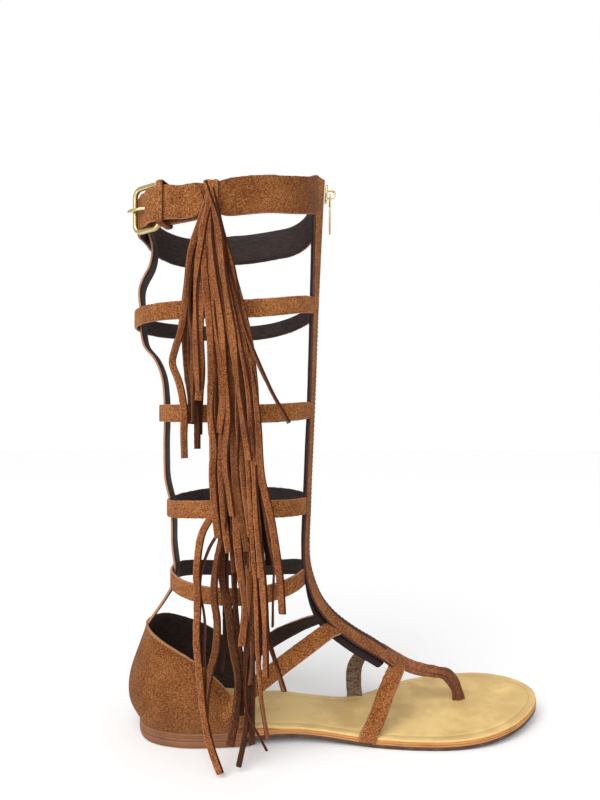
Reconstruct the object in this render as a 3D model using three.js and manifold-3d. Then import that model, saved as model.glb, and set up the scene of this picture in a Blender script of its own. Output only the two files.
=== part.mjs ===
// Right gladiator sandal: a flat layered sole, an openwork suede upper that climbs to below the knee,
// a zip up the shin, a buckled collar and a long suede tassel.
// Millimetres. +X points to the toe, +Y to the inner (big toe) side, +Z up.
// The origin is on the floor, at the middle of the heel lift's tread.
import * as THREE from 'three';
import { mergeVertices } from 'three/addons/utils/BufferGeometryUtils.js';
import Module from 'manifold-3d';

const wasm = await Module();
wasm.setup();

// ---------------------------------------------------------------- driving dimensions
const GAP = 0.3; // clearance between neighbouring pieces
const LEATHER = 2.0; // suede and its lining together
const STRAP = 10.5; // width of the narrow straps

// The sole seen from above. Each row is one cut across it, from the heel to the toe.
const SOLE = {
  heelEnd: { x: -30, y: 0 },
  toeTip: { x: 235, y: 18 },
  rows: [
    { x: -21, lateral: -22, medial: 22 },
    { x: 0, lateral: -31, medial: 31 },
    { x: 42, lateral: -30, medial: 27 },
    { x: 75, lateral: -27, medial: 19 },
    { x: 105, lateral: -29, medial: 20 },
    { x: 125, lateral: -32, medial: 31 },
    { x: 145, lateral: -34, medial: 45 },
    { x: 168, lateral: -34, medial: 54 },
    { x: 190, lateral: -30, medial: 56 },
    { x: 208, lateral: -21.5, medial: 52.5 },
    { x: 223, lateral: -8, medial: 43 },
    { x: 231.5, lateral: 4, medial: 32 },
  ],
};
const BREAST_ROW = 3; // the heel lift ends on the third row of the table, at x = 42
// Height of the outsole's underside: on the heel lift, over the arch, flat at the ball, up at the toe.
const UNDERSIDE = [
  { x: -40, z: 4 },
  { x: 42, z: 4 },
  { x: 62, z: 4.6 },
  { x: 85, z: 3.2 },
  { x: 108, z: 0.8 },
  { x: 122, z: 0 },
  { x: 166, z: 0 },
  { x: 186, z: 1.1 },
  { x: 208, z: 3.6 },
  { x: 240, z: 7.4 },
];
const OUTSOLE = 1.8;
const MIDSOLE = 2.4;
const INSOLE = 1.5;
const LAYERS = OUTSOLE + GAP + MIDSOLE + GAP; // from the underside up to the insole

// The heel counter: how high it stands, and how far it bulges past the sole's edge, at back and sides.
const COUNTER_TOP = [
  { x: -40, z: 68 },
  { x: -24, z: 66.5 },
  { x: -5, z: 59.5 },
  { x: 10, z: 52.5 },
  { x: 23, z: 43 },
  { x: 33, z: 32 },
  { x: 46, z: 13 },
];
const COUNTER_BULGE = [
  { z: 8, back: 0, side: -0.4 },
  { z: 22, back: 7.5, side: 2.6 },
  { z: 40, back: 5.5, side: 2 },
  { z: 64, back: -3, side: -2.5 },
];
const COUNTER_END = 3.12; // where its front edges meet the sole, in rows of the sole's table
const COUNTER_INSET = 0.5; // how far inside the sole's edge it is let in
// The insole's edge lies inside the counter up to its first row, and near the sole's edge from its last.
const INSOLE_STEP = { first: 3.2, last: 3.7, inside: LEATHER + GAP + 1, edge: 0.3 };

// The ridge of the T-bar, from the collar down the shin and along the foot.
// tent is how far its two strips lean back from the ridge, in degrees.
const T_BAR = [
  { x: 91, y: 0, z: 358, tent: 36 },
  { x: 87, y: 0, z: 278, tent: 20 },
  { x: 84.5, y: 0, z: 212, tent: 16 },
  { x: 81.8, y: 0, z: 146, tent: 16 },
  { x: 81.2, y: 0, z: 108, tent: 18 },
  { x: 84.2, y: 0, z: 94, tent: 21 },
  { x: 89.6, y: 0, z: 81.5, tent: 23 },
  { x: 98, y: 1, z: 71, tent: 24 },
  { x: 111, y: 2.5, z: 60.5, tent: 24 },
  { x: 127, y: 5, z: 50, tent: 23 },
  { x: 138, y: 6.5, z: 41.5, tent: 20 },
];
const STRIP = 10; // width of each strip of the T-bar
const SLOT = 3.4; // half the slot between the strips
const ZIP_ROWS = 9.2; // the zip ends this many rows down the T-bar
const TAPE = { wing: 4.5, thick: 0.8, behind: 0.35, coil: 1.7, sunk: 0.4 };

// From the end of the T-bar the leather narrows, twists and enters the insole between two toes.
const THONG = [
  { x: 133, y: 5.8, z: 44.2, width: 25, thick: 2.2, twist: 0 },
  { x: 140, y: 7, z: 39.2, width: 18, thick: 2.8, twist: 8 },
  { x: 148, y: 8.6, z: 34.2, width: 12, thick: 3.4, twist: 22 },
  { x: 157, y: 10.4, z: 30.4, width: 8.6, thick: 3.8, twist: 38 },
  { x: 167, y: 12.4, z: 27.8, width: 8, thick: 3.8, twist: 50 },
  { x: 175, y: 14, z: 25, width: 8.4, thick: 3.8, twist: 62 },
  { x: 180.6, y: 15, z: 18, width: 8.6, thick: 3.6, twist: 74 },
  { x: 183.2, y: 15.4, z: 10, width: 8, thick: 3.6, twist: 84 },
  { x: 183.5, y: 15.4, z: 6.6, width: 8, thick: 3.6, twist: 88 },
];
const THONG_HOLE = { x: 183.6, y: 15.4, middle: 8.6, depth: 8, radius: 5 };

// The loose stay down the middle of the back.
const STAY_WIDTH = 12;
const STAY = [
  { x: -29, z: 50 },
  { x: -25.6, z: 65 },
  { x: -8.6, z: 94 },
  { x: -9.4, z: 120 },
  { x: -10, z: 143 },
  { x: -13.6, z: 160 },
  { x: -14.6, z: 182 },
  { x: -14.2, z: 203 },
  { x: -16, z: 226 },
  { x: -20.5, z: 238 },
  { x: -27.5, z: 247 },
  { x: -29.6, z: 257 },
  { x: -29.8, z: 268 },
  { x: -30.4, z: 284 },
  { x: -23.5, z: 300 },
  { x: -22.5, z: 311 },
  { x: -25.4, z: 324 },
  { x: -25.6, z: 336 },
];

// The straps that ring the leg. ahead and behind say where a strap meets the T-bar and the stay, half
// is half its width across the leg, and square is the exponent of its superellipse, where 2 is an
// ellipse. steps counts its flats: the collar has more, because the buckle, keeper, strap end and
// tassel loop lie close along it. front, side and back are the heights of a narrow strap's middle.
const COLLAR = { width: 21.5, ahead: 85.8, behind: -27, half: 50, square: 2.9, steps: 64 };
const RING = { width: STRAP, square: 2.3, steps: 28 };
const RINGS = [
  COLLAR,
  { ...RING, front: 272, side: 262.5, back: 262, ahead: 83.9, behind: -31, half: 46 },
  { ...RING, front: 205, side: 202, back: 203, ahead: 81.6, behind: -15.3, half: 43 },
  { ...RING, front: 144, side: 145.5, back: 142.5, ahead: 79, behind: -10.6, half: 39 },
  { ...RING, front: 99, side: 92.6, back: 98, ahead: 78.3, behind: -9, half: 35 },
];
// The height of the collar's middle, by degrees round the leg from the shin to the back.
const COLLAR_RISE = [
  { turn: 0, z: 346.6 },
  { turn: 6, z: 343.6 },
  { turn: 24, z: 336 },
  { turn: 35, z: 333 },
  { turn: 53, z: 329.9 },
  { turn: 72, z: 328.2 },
  { turn: 86, z: 326.2 },
  { turn: 95, z: 324.2 },
  { turn: 104, z: 322.4 },
  { turn: 120, z: 321.4 },
  { turn: 140, z: 322 },
  { turn: 180, z: 325 },
];
const RING_START = 9; // a ring starts this far to each side of the ridge

// The strap over the instep, from the T-bar down to the front of the counter. side is +1 inside.
const INSTEP = [
  { x: 97.5, y: 9.6, z: 65 },
  { x: 93.5, y: 13, z: 65 },
  { x: 83, y: 19.5, z: 60 },
  { x: 64, y: 28, z: 49 },
  { x: 48, y: 31.6, z: 38 },
  { x: 34, y: 32.2, z: 27 },
  { x: 26, y: 32.2, z: 21 },
];
const INSTEP_TURN = 67; // in front of this x it lies on the instep, behind it stands at the side
// The strap over the toes, from the outer edge of the sole, under the T-bar, to the inner edge.
const TOE_STRAP = [
  { x: 115, y: -30.8, z: 3.3 },
  { x: 115.6, y: -30.9, z: 6 },
  { x: 118, y: -30, z: 10.5 },
  { x: 122, y: -27, z: 17 },
  { x: 128, y: -20, z: 28 },
  { x: 133.5, y: -13, z: 35.5 },
  { x: 137.5, y: -4, z: 38.2 },
  { x: 138, y: 9, z: 39 },
  { x: 130.5, y: 18, z: 39.5 },
  { x: 119, y: 22.6, z: 36 },
  { x: 113, y: 24, z: 27 },
  { x: 112, y: 24, z: 15 },
  { x: 112.6, y: 23.4, z: 7 },
  { x: 112.8, y: 23.4, z: 3.3 },
];

const NOTCH_SLACK = 1.4; // how much wider than the strap the notches in the sole's edge are

// The buckle and the strap end that runs forward from it, on the outer side of the collar.
const BUCKLE = { x: -13.4, length: 22, height: 28, corner: 6, bar: 2.6, tilt: 5.9, standoff: 0.3 };
const PRONG = { radius: 0.9, hole: 1.4 };
// The prong starts behind the strap end, comes up through its hole and rests on the rear bar. Its line
// is measured from the buckle's middle, x forward and z out from the collar.
const PRONG_LINE = [
  { x: -12.6, y: 0, z: 5.4 },
  { x: -9, y: 0, z: 5.4 },
  { x: -4, y: 0, z: 4.4 },
  { x: 0, y: 0, z: 2.8 },
  { x: 4, y: 0, z: 1.5 },
  { x: 8, y: 0, z: 1.1 },
];
// The strap end lies on the collar, and rises over the buckle's front bar between rear and settled.
const STRAP_END = {
  back: -17.6,
  rear: -16,
  bar: -7,
  settled: 8,
  tip: 19.5,
  width: 19.5,
  round: 8,
  blunt: 0.12,
  lift: 3.7,
};
const KEEPER = { x: -2.2, width: 4.4, thick: 1.6, slack: 0.5 };
const TASSEL_LOOP = { x: 24.5, width: 7.5, thick: 1.6, slack: 0 };
const LOOP_PLAY = 0.4; // room above and below the collar inside a loop, past the usual gap

// The zip's slider near the top of the T-bar, and the tab that hangs from it.
const SLIDER = { z: 347, width: 8.6, height: 11, corner: 2.4, plate: 1.6, standoff: 0.5 };
const BRIDGE = { length: 5.8, rise: 3.5, bar: 1.2, width: 2 };
// lap is how far the tab's body runs into the ring of its eye.
const TAB = {
  length: 26,
  body: 3.4,
  bodyCorner: 1.65,
  thick: 1.1,
  eyeWidth: 6.6,
  eyeHeight: 8.4,
  eyeCorner: 2.2,
  lap: 1,
  drop: 0.8,
  height: 3.25,
};

// The tassel: where its strands lie at each height, and the height at which each strand ends.
const TASSEL_SPREAD = [
  { z: 334, back: 22, front: 27 },
  { z: 312, back: 16, front: 31 },
  { z: 290, back: 12, front: 35 },
  { z: 241, back: 6, front: 46 },
  { z: 187, back: 10, front: 50 },
  { z: 152, back: 24, front: 56 },
  { z: 130, back: 22, front: 60 },
  { z: 88, back: 20, front: 64 },
  { z: 44, back: 24, front: 66 },
  { z: 0, back: 26, front: 62 },
];
const STRAND_ENDS = [204, 182, 44, 2.5, 96, 24, 3, 84, 42, 128, 38, 70, 92, 152];
const STRAND = { width: 4.2, thick: 2, layer: 2.6, layers: 3, y: -57.5 };
const TASSEL_HEAD = { margin: 1.5, height: 9, drop: 2 };

const DEGREE = Math.PI / 180;
const UP = new THREE.Vector3(0, 0, 1);

// ---------------------------------------------------------------- shape helpers
// Reads one column of a table of heights or widths, easing between its rows.
function column(table, key, value, name) {
  const ordered = table[0][key] < table[table.length - 1][key] ? table : [...table].reverse();
  if (value <= ordered[0][key]) return ordered[0][name];
  for (let i = 1; i < ordered.length; i += 1) {
    const low = ordered[i - 1];
    const high = ordered[i];
    if (value <= high[key]) {
      const part = (value - low[key]) / (high[key] - low[key]);
      return THREE.MathUtils.lerp(low[name], high[name], part);
    }
  }
  return ordered[ordered.length - 1][name];
}

// Reads a column at a fractional row number.
function atRow(table, row, name) {
  const index = Math.min(Math.floor(row), table.length - 2);
  return THREE.MathUtils.lerp(table[index][name], table[index + 1][name], row - index);
}

// A smooth curve through the rows of a table of places.
function curveThrough(table) {
  const points = table.map((row) => new THREE.Vector3(row.x, row.y ?? 0, row.z));
  return new THREE.CatmullRomCurve3(points, false, 'centripetal');
}

// Skins a row of closed sections that all have the same number of points, and caps its ends.
function loft(sections, capOutline) {
  const count = sections[0].length;
  const positions = sections.flat().flatMap((point) => [point.x, point.y, point.z]);
  const indices = [];
  for (let i = 0; i < sections.length - 1; i += 1) {
    for (let j = 0; j < count; j += 1) {
      const a = i * count + j;
      const b = i * count + ((j + 1) % count);
      indices.push(a, b, b + count, a, b + count, a + count);
    }
  }
  const last = (sections.length - 1) * count;
  const backwards = THREE.ShapeUtils.isClockWise(capOutline);
  for (const [a, b, c] of THREE.ShapeUtils.triangulateShape(capOutline, [])) {
    const [p, q] = backwards ? [c, b] : [b, c];
    indices.push(a, q, p, last + a, last + p, last + q);
  }
  const geometry = new THREE.BufferGeometry();
  geometry.setAttribute('position', new THREE.Float32BufferAttribute(positions, 3));
  geometry.setIndex(indices);
  return solid(geometry);
}

// Turns a closed geometry into a solid that can be joined and cut, with its faces pointing out.
function solid(geometry) {
  const bare = geometry.clone();
  bare.deleteAttribute('normal');
  bare.deleteAttribute('uv');
  const merged = mergeVertices(bare, 1e-5);
  const index = merged.index.array;
  const place = merged.attributes.position;
  const corner = [0, 1, 2].map(() => new THREE.Vector3());
  let volume = 0;
  for (let i = 0; i < index.length; i += 3) {
    corner.forEach((point, k) => point.fromBufferAttribute(place, index[i + k]));
    volume += corner[0].dot(corner[1].clone().cross(corner[2]));
  }
  const triangles = new Uint32Array(index);
  if (volume < 0) triangles.reverse();
  const mesh = new wasm.Mesh({ numProp: 3, vertProperties: place.array, triVerts: triangles });
  return new wasm.Manifold(mesh);
}

// Places along a curve with the strap's own directions there: across its width and out of its face.
function stations(curve, count, outward, first = 0, last = 1) {
  return Array.from({ length: count + 1 }, (_, i) => {
    const t = first + ((last - first) * i) / count;
    const at = curve.getPoint(t);
    const along = curve.getTangent(t);
    const out = outward(at).clone().addScaledVector(along, -outward(at).dot(along)).normalize();
    const across = new THREE.Vector3().crossVectors(out, along).normalize();
    return { at, along, out, across, t };
  });
}

// Sweeps a flat outline, given as (across, out) pairs, through a row of stations.
function sweep(places, outlineAt) {
  const sections = places.map((place) =>
    outlineAt(place).map((point) =>
      place.at.clone().addScaledVector(place.across, point.x).addScaledVector(place.out, point.y),
    ),
  );
  return loft(sections, outlineAt(places[0]));
}

// A flat strap's section.
function rectangle(width, thick, middle = 0) {
  const low = middle - thick / 2;
  const high = middle + thick / 2;
  return [
    new THREE.Vector2(-width / 2, low),
    new THREE.Vector2(width / 2, low),
    new THREE.Vector2(width / 2, high),
    new THREE.Vector2(-width / 2, high),
  ];
}

// The same section turned about the strap's own line.
function turned(outline, degrees) {
  const centre = new THREE.Vector2();
  return outline.map((point) => point.clone().rotateAround(centre, degrees * DEGREE));
}

function joined(solids) {
  return solids.reduce((whole, next) => whole.add(next));
}

// ---------------------------------------------------------------- sole
const soleCurve = new THREE.CatmullRomCurve3(
  [
    new THREE.Vector3(SOLE.heelEnd.x, SOLE.heelEnd.y, 0),
    ...SOLE.rows.map((row) => new THREE.Vector3(row.x, row.lateral, 0)),
    new THREE.Vector3(SOLE.toeTip.x, SOLE.toeTip.y, 0),
    ...[...SOLE.rows].reverse().map((row) => new THREE.Vector3(row.x, row.medial, 0)),
  ],
  true,
  'centripetal',
);
const SOLE_SPANS = SOLE.rows.length + 1;

// A place on the sole's edge, counted in rows from the heel, on the inner or the outer side.
function soleEdge(row, medial, inset) {
  const share = row / (2 * SOLE_SPANS);
  const t = medial ? 1 - share : share;
  const at = soleCurve.getPoint(t);
  const along = soleCurve.getTangent(t);
  const outward = new THREE.Vector3(along.y, -along.x, 0);
  return { at: at.addScaledVector(outward, -inset), outward };
}

// One layer of the sole between two rows: the space between its edges, as thick as it says.
function soleLayer(bottomAt, thick, insetAt, firstRow = 0.07, lastRow = SOLE_SPANS - 0.07, perRow = 3) {
  const count = Math.round((lastRow - firstRow) * perRow);
  const sections = Array.from({ length: count + 1 }, (_, i) => {
    const row = firstRow + ((lastRow - firstRow) * i) / count;
    const outer = soleEdge(row, false, insetAt(row)).at;
    const inner = soleEdge(row, true, insetAt(row)).at;
    return [
      outer.clone().setZ(bottomAt(outer.x)),
      inner.clone().setZ(bottomAt(inner.x)),
      inner.clone().setZ(bottomAt(inner.x) + thick),
      outer.clone().setZ(bottomAt(outer.x) + thick),
    ];
  });
  return loft(sections, rectangle(2, 2));
}

function underside(x) {
  return column(UNDERSIDE, 'x', x, 'z');
}

const heelLift = soleLayer(() => 0, UNDERSIDE[0].z - GAP, () => 0, 0.07, BREAST_ROW);
const outsole = soleLayer(underside, OUTSOLE, () => 0);
const midsoleWhole = soleLayer((x) => underside(x) + OUTSOLE + GAP, MIDSOLE, () => 0);

// The insole stands inside the counter at the heel, and reaches the edge in front of it.
function insoleInset(row) {
  const { first, last, inside, edge } = INSOLE_STEP;
  return THREE.MathUtils.mapLinear(THREE.MathUtils.clamp(row, first, last), first, last, inside, edge);
}
const insoleWhole = soleLayer((x) => underside(x) + LAYERS, INSOLE, insoleInset);

// ---------------------------------------------------------------- upper
// The counter wraps the heel: each section is the wall cut upright, from its foot to its top edge.
function counter() {
  const columns = 26;
  const levels = 4;
  const foot = UNDERSIDE[0].z + LAYERS;
  const sections = Array.from({ length: columns + 1 }, (_, i) => {
    const row = COUNTER_END * (1 - (2 * i) / columns);
    const edge = soleEdge(Math.abs(row), row < 0, COUNTER_INSET);
    const top = column(COUNTER_TOP, 'x', edge.at.x, 'z');
    const back = Math.max(0, -edge.outward.x) ** 2;
    const wall = (depth) =>
      Array.from({ length: levels + 1 }, (_, j) => {
        const z = foot + ((top - foot) * j) / levels;
        const sideways = column(COUNTER_BULGE, 'z', z, 'side');
        const backward = column(COUNTER_BULGE, 'z', z, 'back');
        const bulge = THREE.MathUtils.lerp(sideways, backward, back) - depth;
        return edge.at.clone().addScaledVector(edge.outward, bulge).setZ(z);
      });
    return [...wall(0), ...wall(LEATHER).reverse()];
  });
  const cap = [...Array(levels + 1).keys()].map((j) => new THREE.Vector2(0, j));
  const capBack = cap.map((point) => new THREE.Vector2(1, point.y)).reverse();
  return loft(sections, [...cap, ...capBack]);
}

const tBarCurve = curveThrough(T_BAR);
const shinwards = () => new THREE.Vector3(1, 0, 1);

// Places down the T-bar, each with how far its strips lean there.
function tBarStations(lastRow) {
  const spans = T_BAR.length - 1;
  const places = stations(tBarCurve, Math.round(lastRow * 3), shinwards, 0, lastRow / spans);
  return places.map((place) => ({ ...place, tent: atRow(T_BAR, place.t * spans, 'tent') * DEGREE }));
}

// One strip of the T-bar: it leans back from the ridge, and its back face is one wall behind its front.
function strip(side) {
  return sweep(tBarStations(T_BAR.length - 1), ({ tent }) => {
    const lean = new THREE.Vector2(Math.cos(tent) * side, -Math.sin(tent));
    const inward = new THREE.Vector2(-Math.sin(tent) * side, -Math.cos(tent));
    const near = new THREE.Vector2(SLOT * side, 0);
    const far = near.clone().addScaledVector(lean, STRIP);
    const farBack = far.clone().addScaledVector(inward, LEATHER);
    const nearBack = near.clone().addScaledVector(inward, LEATHER);
    return side > 0 ? [near, nearBack, farBack, far] : [near, far, farBack, nearBack];
  });
}

function thong() {
  const spans = THONG.length - 1;
  return sweep(stations(curveThrough(THONG), spans * 2, shinwards), ({ t }) => {
    const row = t * spans;
    const outline = rectangle(atRow(THONG, row, 'width'), atRow(THONG, row, 'thick'), -LEATHER / 2);
    return turned(outline, atRow(THONG, row, 'twist'));
  });
}

function stay() {
  const backwards = () => new THREE.Vector3(-1, 0, 0);
  const places = stations(curveThrough(STAY), (STAY.length - 1) * 2, backwards);
  return sweep(places, () => rectangle(STAY_WIDTH, LEATHER));
}

// A place on the middle of a ring. The angle is 0 at the shin and grows round the outer side.
function ringPoint(ring, angle) {
  const centre = (ring.ahead + ring.behind) / 2;
  const reach = (ring.ahead - ring.behind) / 2;
  const power = 2 / ring.square;
  const c = Math.cos(angle);
  const s = Math.sin(angle);
  const turn = Math.acos(THREE.MathUtils.clamp(c, -1, 1)) / DEGREE;
  const narrow = THREE.MathUtils.lerp(ring.side, c > 0 ? ring.front : ring.back, c * c);
  return new THREE.Vector3(
    centre + reach * Math.sign(c) * Math.abs(c) ** power,
    -ring.half * Math.sign(s) * Math.abs(s) ** power,
    ring === COLLAR ? column(COLLAR_RISE, 'turn', turn, 'z') : narrow,
  );
}

// The ring's angle at which it has a given distance from the ridge, or a given x on its outer side.
function ringAngle(ring, test, low, high) {
  for (let i = 0; i < 40; i += 1) {
    const middle = (low + high) / 2;
    if (test(ringPoint(ring, middle))) high = middle;
    else low = middle;
  }
  return low;
}

class RingCurve extends THREE.Curve {
  constructor(ring, first, last, standoff = () => 0) {
    super();
    Object.assign(this, { ring, first, last, standoff });
  }

  getPoint(t) {
    const angle = THREE.MathUtils.lerp(this.first, this.last, t);
    const at = ringPoint(this.ring, angle);
    const ahead = ringPoint(this.ring, angle + 1e-3).sub(ringPoint(this.ring, angle - 1e-3));
    const out = new THREE.Vector3(-ahead.y, ahead.x, 0).normalize();
    return at.addScaledVector(out, this.standoff(at.x));
  }
}

function outFrom(ring) {
  const centre = (ring.ahead + ring.behind) / 2;
  return (at) => new THREE.Vector3(at.x - centre, at.y, 0);
}

function ringStrap(ring) {
  const start = ringAngle(ring, (point) => point.y < -RING_START, 0, Math.PI / 2);
  const curve = new RingCurve(ring, start, 2 * Math.PI - start);
  return sweep(stations(curve, ring.steps, outFrom(ring)), () => rectangle(ring.width, LEATHER));
}

// The instep strap on one side: 1 for the inner side, -1 for the outer.
function instepStrap(side) {
  const rows = INSTEP.map((row) => ({ ...row, y: row.y * side }));
  const outward = (at) => new THREE.Vector3(0, at.y, at.x > INSTEP_TURN ? 14 : 2);
  return sweep(stations(curveThrough(rows), 14, outward), () => rectangle(STRAP, LEATHER));
}

const toeOutward = (at) => new THREE.Vector3(0, at.y + 1, at.z * 0.6);
const toePlaces = stations(curveThrough(TOE_STRAP), 34, toeOutward);

// The coil fills the slot, and a wing of tape lies behind each strip. room widens it to a clear channel.
function zip(room = 0) {
  const half = SLOT - TAPE.coil + room;
  return sweep(tBarStations(ZIP_ROWS + room / 3), ({ tent }) => {
    const lean = new THREE.Vector2(Math.cos(tent), -Math.sin(tent));
    const inward = new THREE.Vector2(-Math.sin(tent), -Math.cos(tent));
    const base = new THREE.Vector2(SLOT, 0).addScaledVector(inward, LEATHER + TAPE.behind - room);
    const wing = base.clone().addScaledVector(lean, TAPE.wing + room);
    const wingBack = wing.clone().addScaledVector(inward, TAPE.thick + 2 * room);
    const baseBack = base.clone().addScaledVector(inward, TAPE.thick + 2 * room);
    const right = [new THREE.Vector2(half, room - TAPE.sunk), new THREE.Vector2(half, base.y), base, wing];
    right.push(wingBack, baseBack);
    const left = right.map((point) => new THREE.Vector2(-point.x, point.y)).reverse();
    return [...right, ...left];
  });
}

const upper = joined([
  counter(),
  strip(1),
  strip(-1),
  thong(),
  stay(),
  ...RINGS.map(ringStrap),
  instepStrap(1),
  instepStrap(-1),
  sweep(toePlaces, () => rectangle(STRAP, LEATHER)),
]).subtract(zip(GAP));

// The toe strap's ends lie in notches in the sole's edge.
const toeRoom = sweep(toePlaces, () => rectangle(STRAP + 2 * GAP, LEATHER + 2 * GAP + NOTCH_SLACK));
const midsole = midsoleWhole.subtract(toeRoom);
const holeShape = new THREE.CylinderGeometry(THONG_HOLE.radius, THONG_HOLE.radius, THONG_HOLE.depth, 24);
holeShape.rotateX(Math.PI / 2).translate(THONG_HOLE.x, THONG_HOLE.y, THONG_HOLE.middle);
const thongHole = solid(holeShape);
const insole = insoleWhole.subtract(toeRoom).subtract(thongHole);

// ---------------------------------------------------------------- collar hardware
// The collar's outer side at a given x: the middle of the wall and its directions.
function collarFrame(x) {
  const angle = ringAngle(COLLAR, (point) => point.x < x, 0.3, Math.PI);
  const at = ringPoint(COLLAR, angle);
  const forward = ringPoint(COLLAR, angle - 0.01).sub(ringPoint(COLLAR, angle + 0.01)).setZ(0).normalize();
  const out = new THREE.Vector3(forward.y, -forward.x, 0);
  return { angle, at, forward, out };
}

// Puts geometry made flat (x forward, y up, z out) on the collar, a distance out from its outer face.
function onCollar(geometry, frame, standoff) {
  const origin = frame.at.clone().addScaledVector(frame.out, LEATHER / 2 + standoff);
  const matrix = new THREE.Matrix4().makeBasis(frame.forward, UP, frame.out).setPosition(origin);
  return solid(geometry.applyMatrix4(matrix));
}

function roundedOutline(PathType, width, height, radius) {
  const x = width / 2;
  const y = height / 2;
  const outline = new PathType();
  outline.moveTo(-x + radius, -y);
  outline.lineTo(x - radius, -y);
  outline.absarc(x - radius, -y + radius, radius, -Math.PI / 2, 0);
  outline.lineTo(x, y - radius);
  outline.absarc(x - radius, y - radius, radius, 0, Math.PI / 2);
  outline.lineTo(-x + radius, y);
  outline.absarc(-x + radius, y - radius, radius, Math.PI / 2, Math.PI);
  outline.lineTo(-x, -y + radius);
  outline.absarc(-x + radius, -y + radius, radius, Math.PI, 1.5 * Math.PI);
  return outline;
}

// A flat ring with rounded corners: the outside's size, the width of its bar, and its depth.
function frameGeometry(width, height, radius, bar, depth) {
  const shape = roundedOutline(THREE.Shape, width, height, radius);
  shape.holes.push(roundedOutline(THREE.Path, width - 2 * bar, height - 2 * bar, Math.max(radius - bar, 0.4)));
  return new THREE.ExtrudeGeometry(shape, { depth, bevelEnabled: false, curveSegments: 6 });
}

const buckleFrame = collarFrame(BUCKLE.x);
const buckleTilt = BUCKLE.tilt * DEGREE;
const buckleGeometry = frameGeometry(BUCKLE.length, BUCKLE.height, BUCKLE.corner, BUCKLE.bar, BUCKLE.bar);
const buckle = onCollar(buckleGeometry.rotateY(buckleTilt), buckleFrame, BUCKLE.standoff);

function prong(radius) {
  const shape = new THREE.Shape().absarc(0, 0, radius, 0, 2 * Math.PI);
  const settings = { steps: 12, curveSegments: 5, extrudePath: curveThrough(PRONG_LINE) };
  return onCollar(new THREE.ExtrudeGeometry(shape, settings), buckleFrame, 0);
}

// How far the middle of the strap end stands out from the middle of the collar.
function strapEndStandoff(x) {
  const low = LEATHER + GAP;
  const high = low + STRAP_END.lift;
  const rising = THREE.MathUtils.smoothstep(x, STRAP_END.rear, STRAP_END.bar - 1);
  const falling = THREE.MathUtils.smoothstep(x, STRAP_END.bar + 7, STRAP_END.settled);
  return THREE.MathUtils.lerp(low, high, rising - falling);
}

function strapEnd() {
  const first = collarFrame(STRAP_END.tip).angle;
  const last = collarFrame(STRAP_END.back).angle;
  const curve = new RingCurve(COLLAR, first, last, strapEndStandoff);
  return sweep(stations(curve, 40, outFrom(COLLAR)), ({ at }) => {
    const past = Math.max(0, at.x - (STRAP_END.tip - STRAP_END.round)) / STRAP_END.round;
    return rectangle(STRAP_END.width * Math.sqrt(Math.max(STRAP_END.blunt, 1 - past * past)), LEATHER);
  });
}

// A narrow loop round the collar and whatever lies on it there.
function collarLoop({ x, width, thick, slack }, layersOut) {
  const frame = collarFrame(x);
  const inside = LEATHER / 2 + GAP + slack;
  const outside = layersOut + LEATHER / 2 + GAP + slack;
  const height = COLLAR.width + 2 * (GAP + LOOP_PLAY + thick);
  const across = inside + outside + 2 * thick;
  const corner = thick + LOOP_PLAY;
  const geometry = frameGeometry(across, height, corner, thick, width);
  const middle = frame.at.clone().addScaledVector(frame.out, (outside - inside) / 2);
  middle.addScaledVector(frame.forward, width / 2);
  const matrix = new THREE.Matrix4().makeBasis(frame.out, UP, frame.forward.clone().negate());
  return solid(geometry.applyMatrix4(matrix.setPosition(middle)));
}

// ---------------------------------------------------------------- zip slider and tab
// A frame on the T-bar: x across it, y up it, z out of it.
function ridgeFrame(z) {
  const spans = T_BAR.length - 1;
  const steps = 200;
  const places = stations(tBarCurve, steps, shinwards, 0, 1 / spans);
  const offBy = (place) => Math.abs(place.at.z - z);
  const { at, along, out } = places.reduce((best, next) => (offBy(next) < offBy(best) ? next : best));
  const up = along.clone().negate();
  return { at, across: new THREE.Vector3().crossVectors(up, out), up, out };
}
const sliderFrame = ridgeFrame(SLIDER.z);

function onRidge(geometry, turn = new THREE.Matrix4()) {
  const { at, across, up, out } = sliderFrame;
  const matrix = new THREE.Matrix4().makeBasis(across, up, out).setPosition(at);
  return solid(geometry.applyMatrix4(turn).applyMatrix4(matrix));
}

// The slider's plate, with a bridge along it that the tab hangs from.
function slider() {
  const outline = roundedOutline(THREE.Shape, SLIDER.width, SLIDER.height, SLIDER.corner);
  const settings = { depth: SLIDER.plate, bevelEnabled: false, curveSegments: 5 };
  const plate = new THREE.ExtrudeGeometry(outline, settings);
  plate.translate(0, 0, SLIDER.standoff);
  const height = 2 * (BRIDGE.rise + SLIDER.plate);
  const loop = frameGeometry(height, BRIDGE.length, BRIDGE.bar, BRIDGE.bar, BRIDGE.width);
  const middle = SLIDER.standoff + SLIDER.plate;
  const bridge = loop.rotateY(-Math.PI / 2).translate(BRIDGE.width / 2, 0, middle);
  const below = new THREE.BoxGeometry(20, 20, 10).translate(0, 0, middle - 5 - SLIDER.plate / 2);
  return onRidge(plate).add(onRidge(bridge).subtract(onRidge(below)));
}

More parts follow.
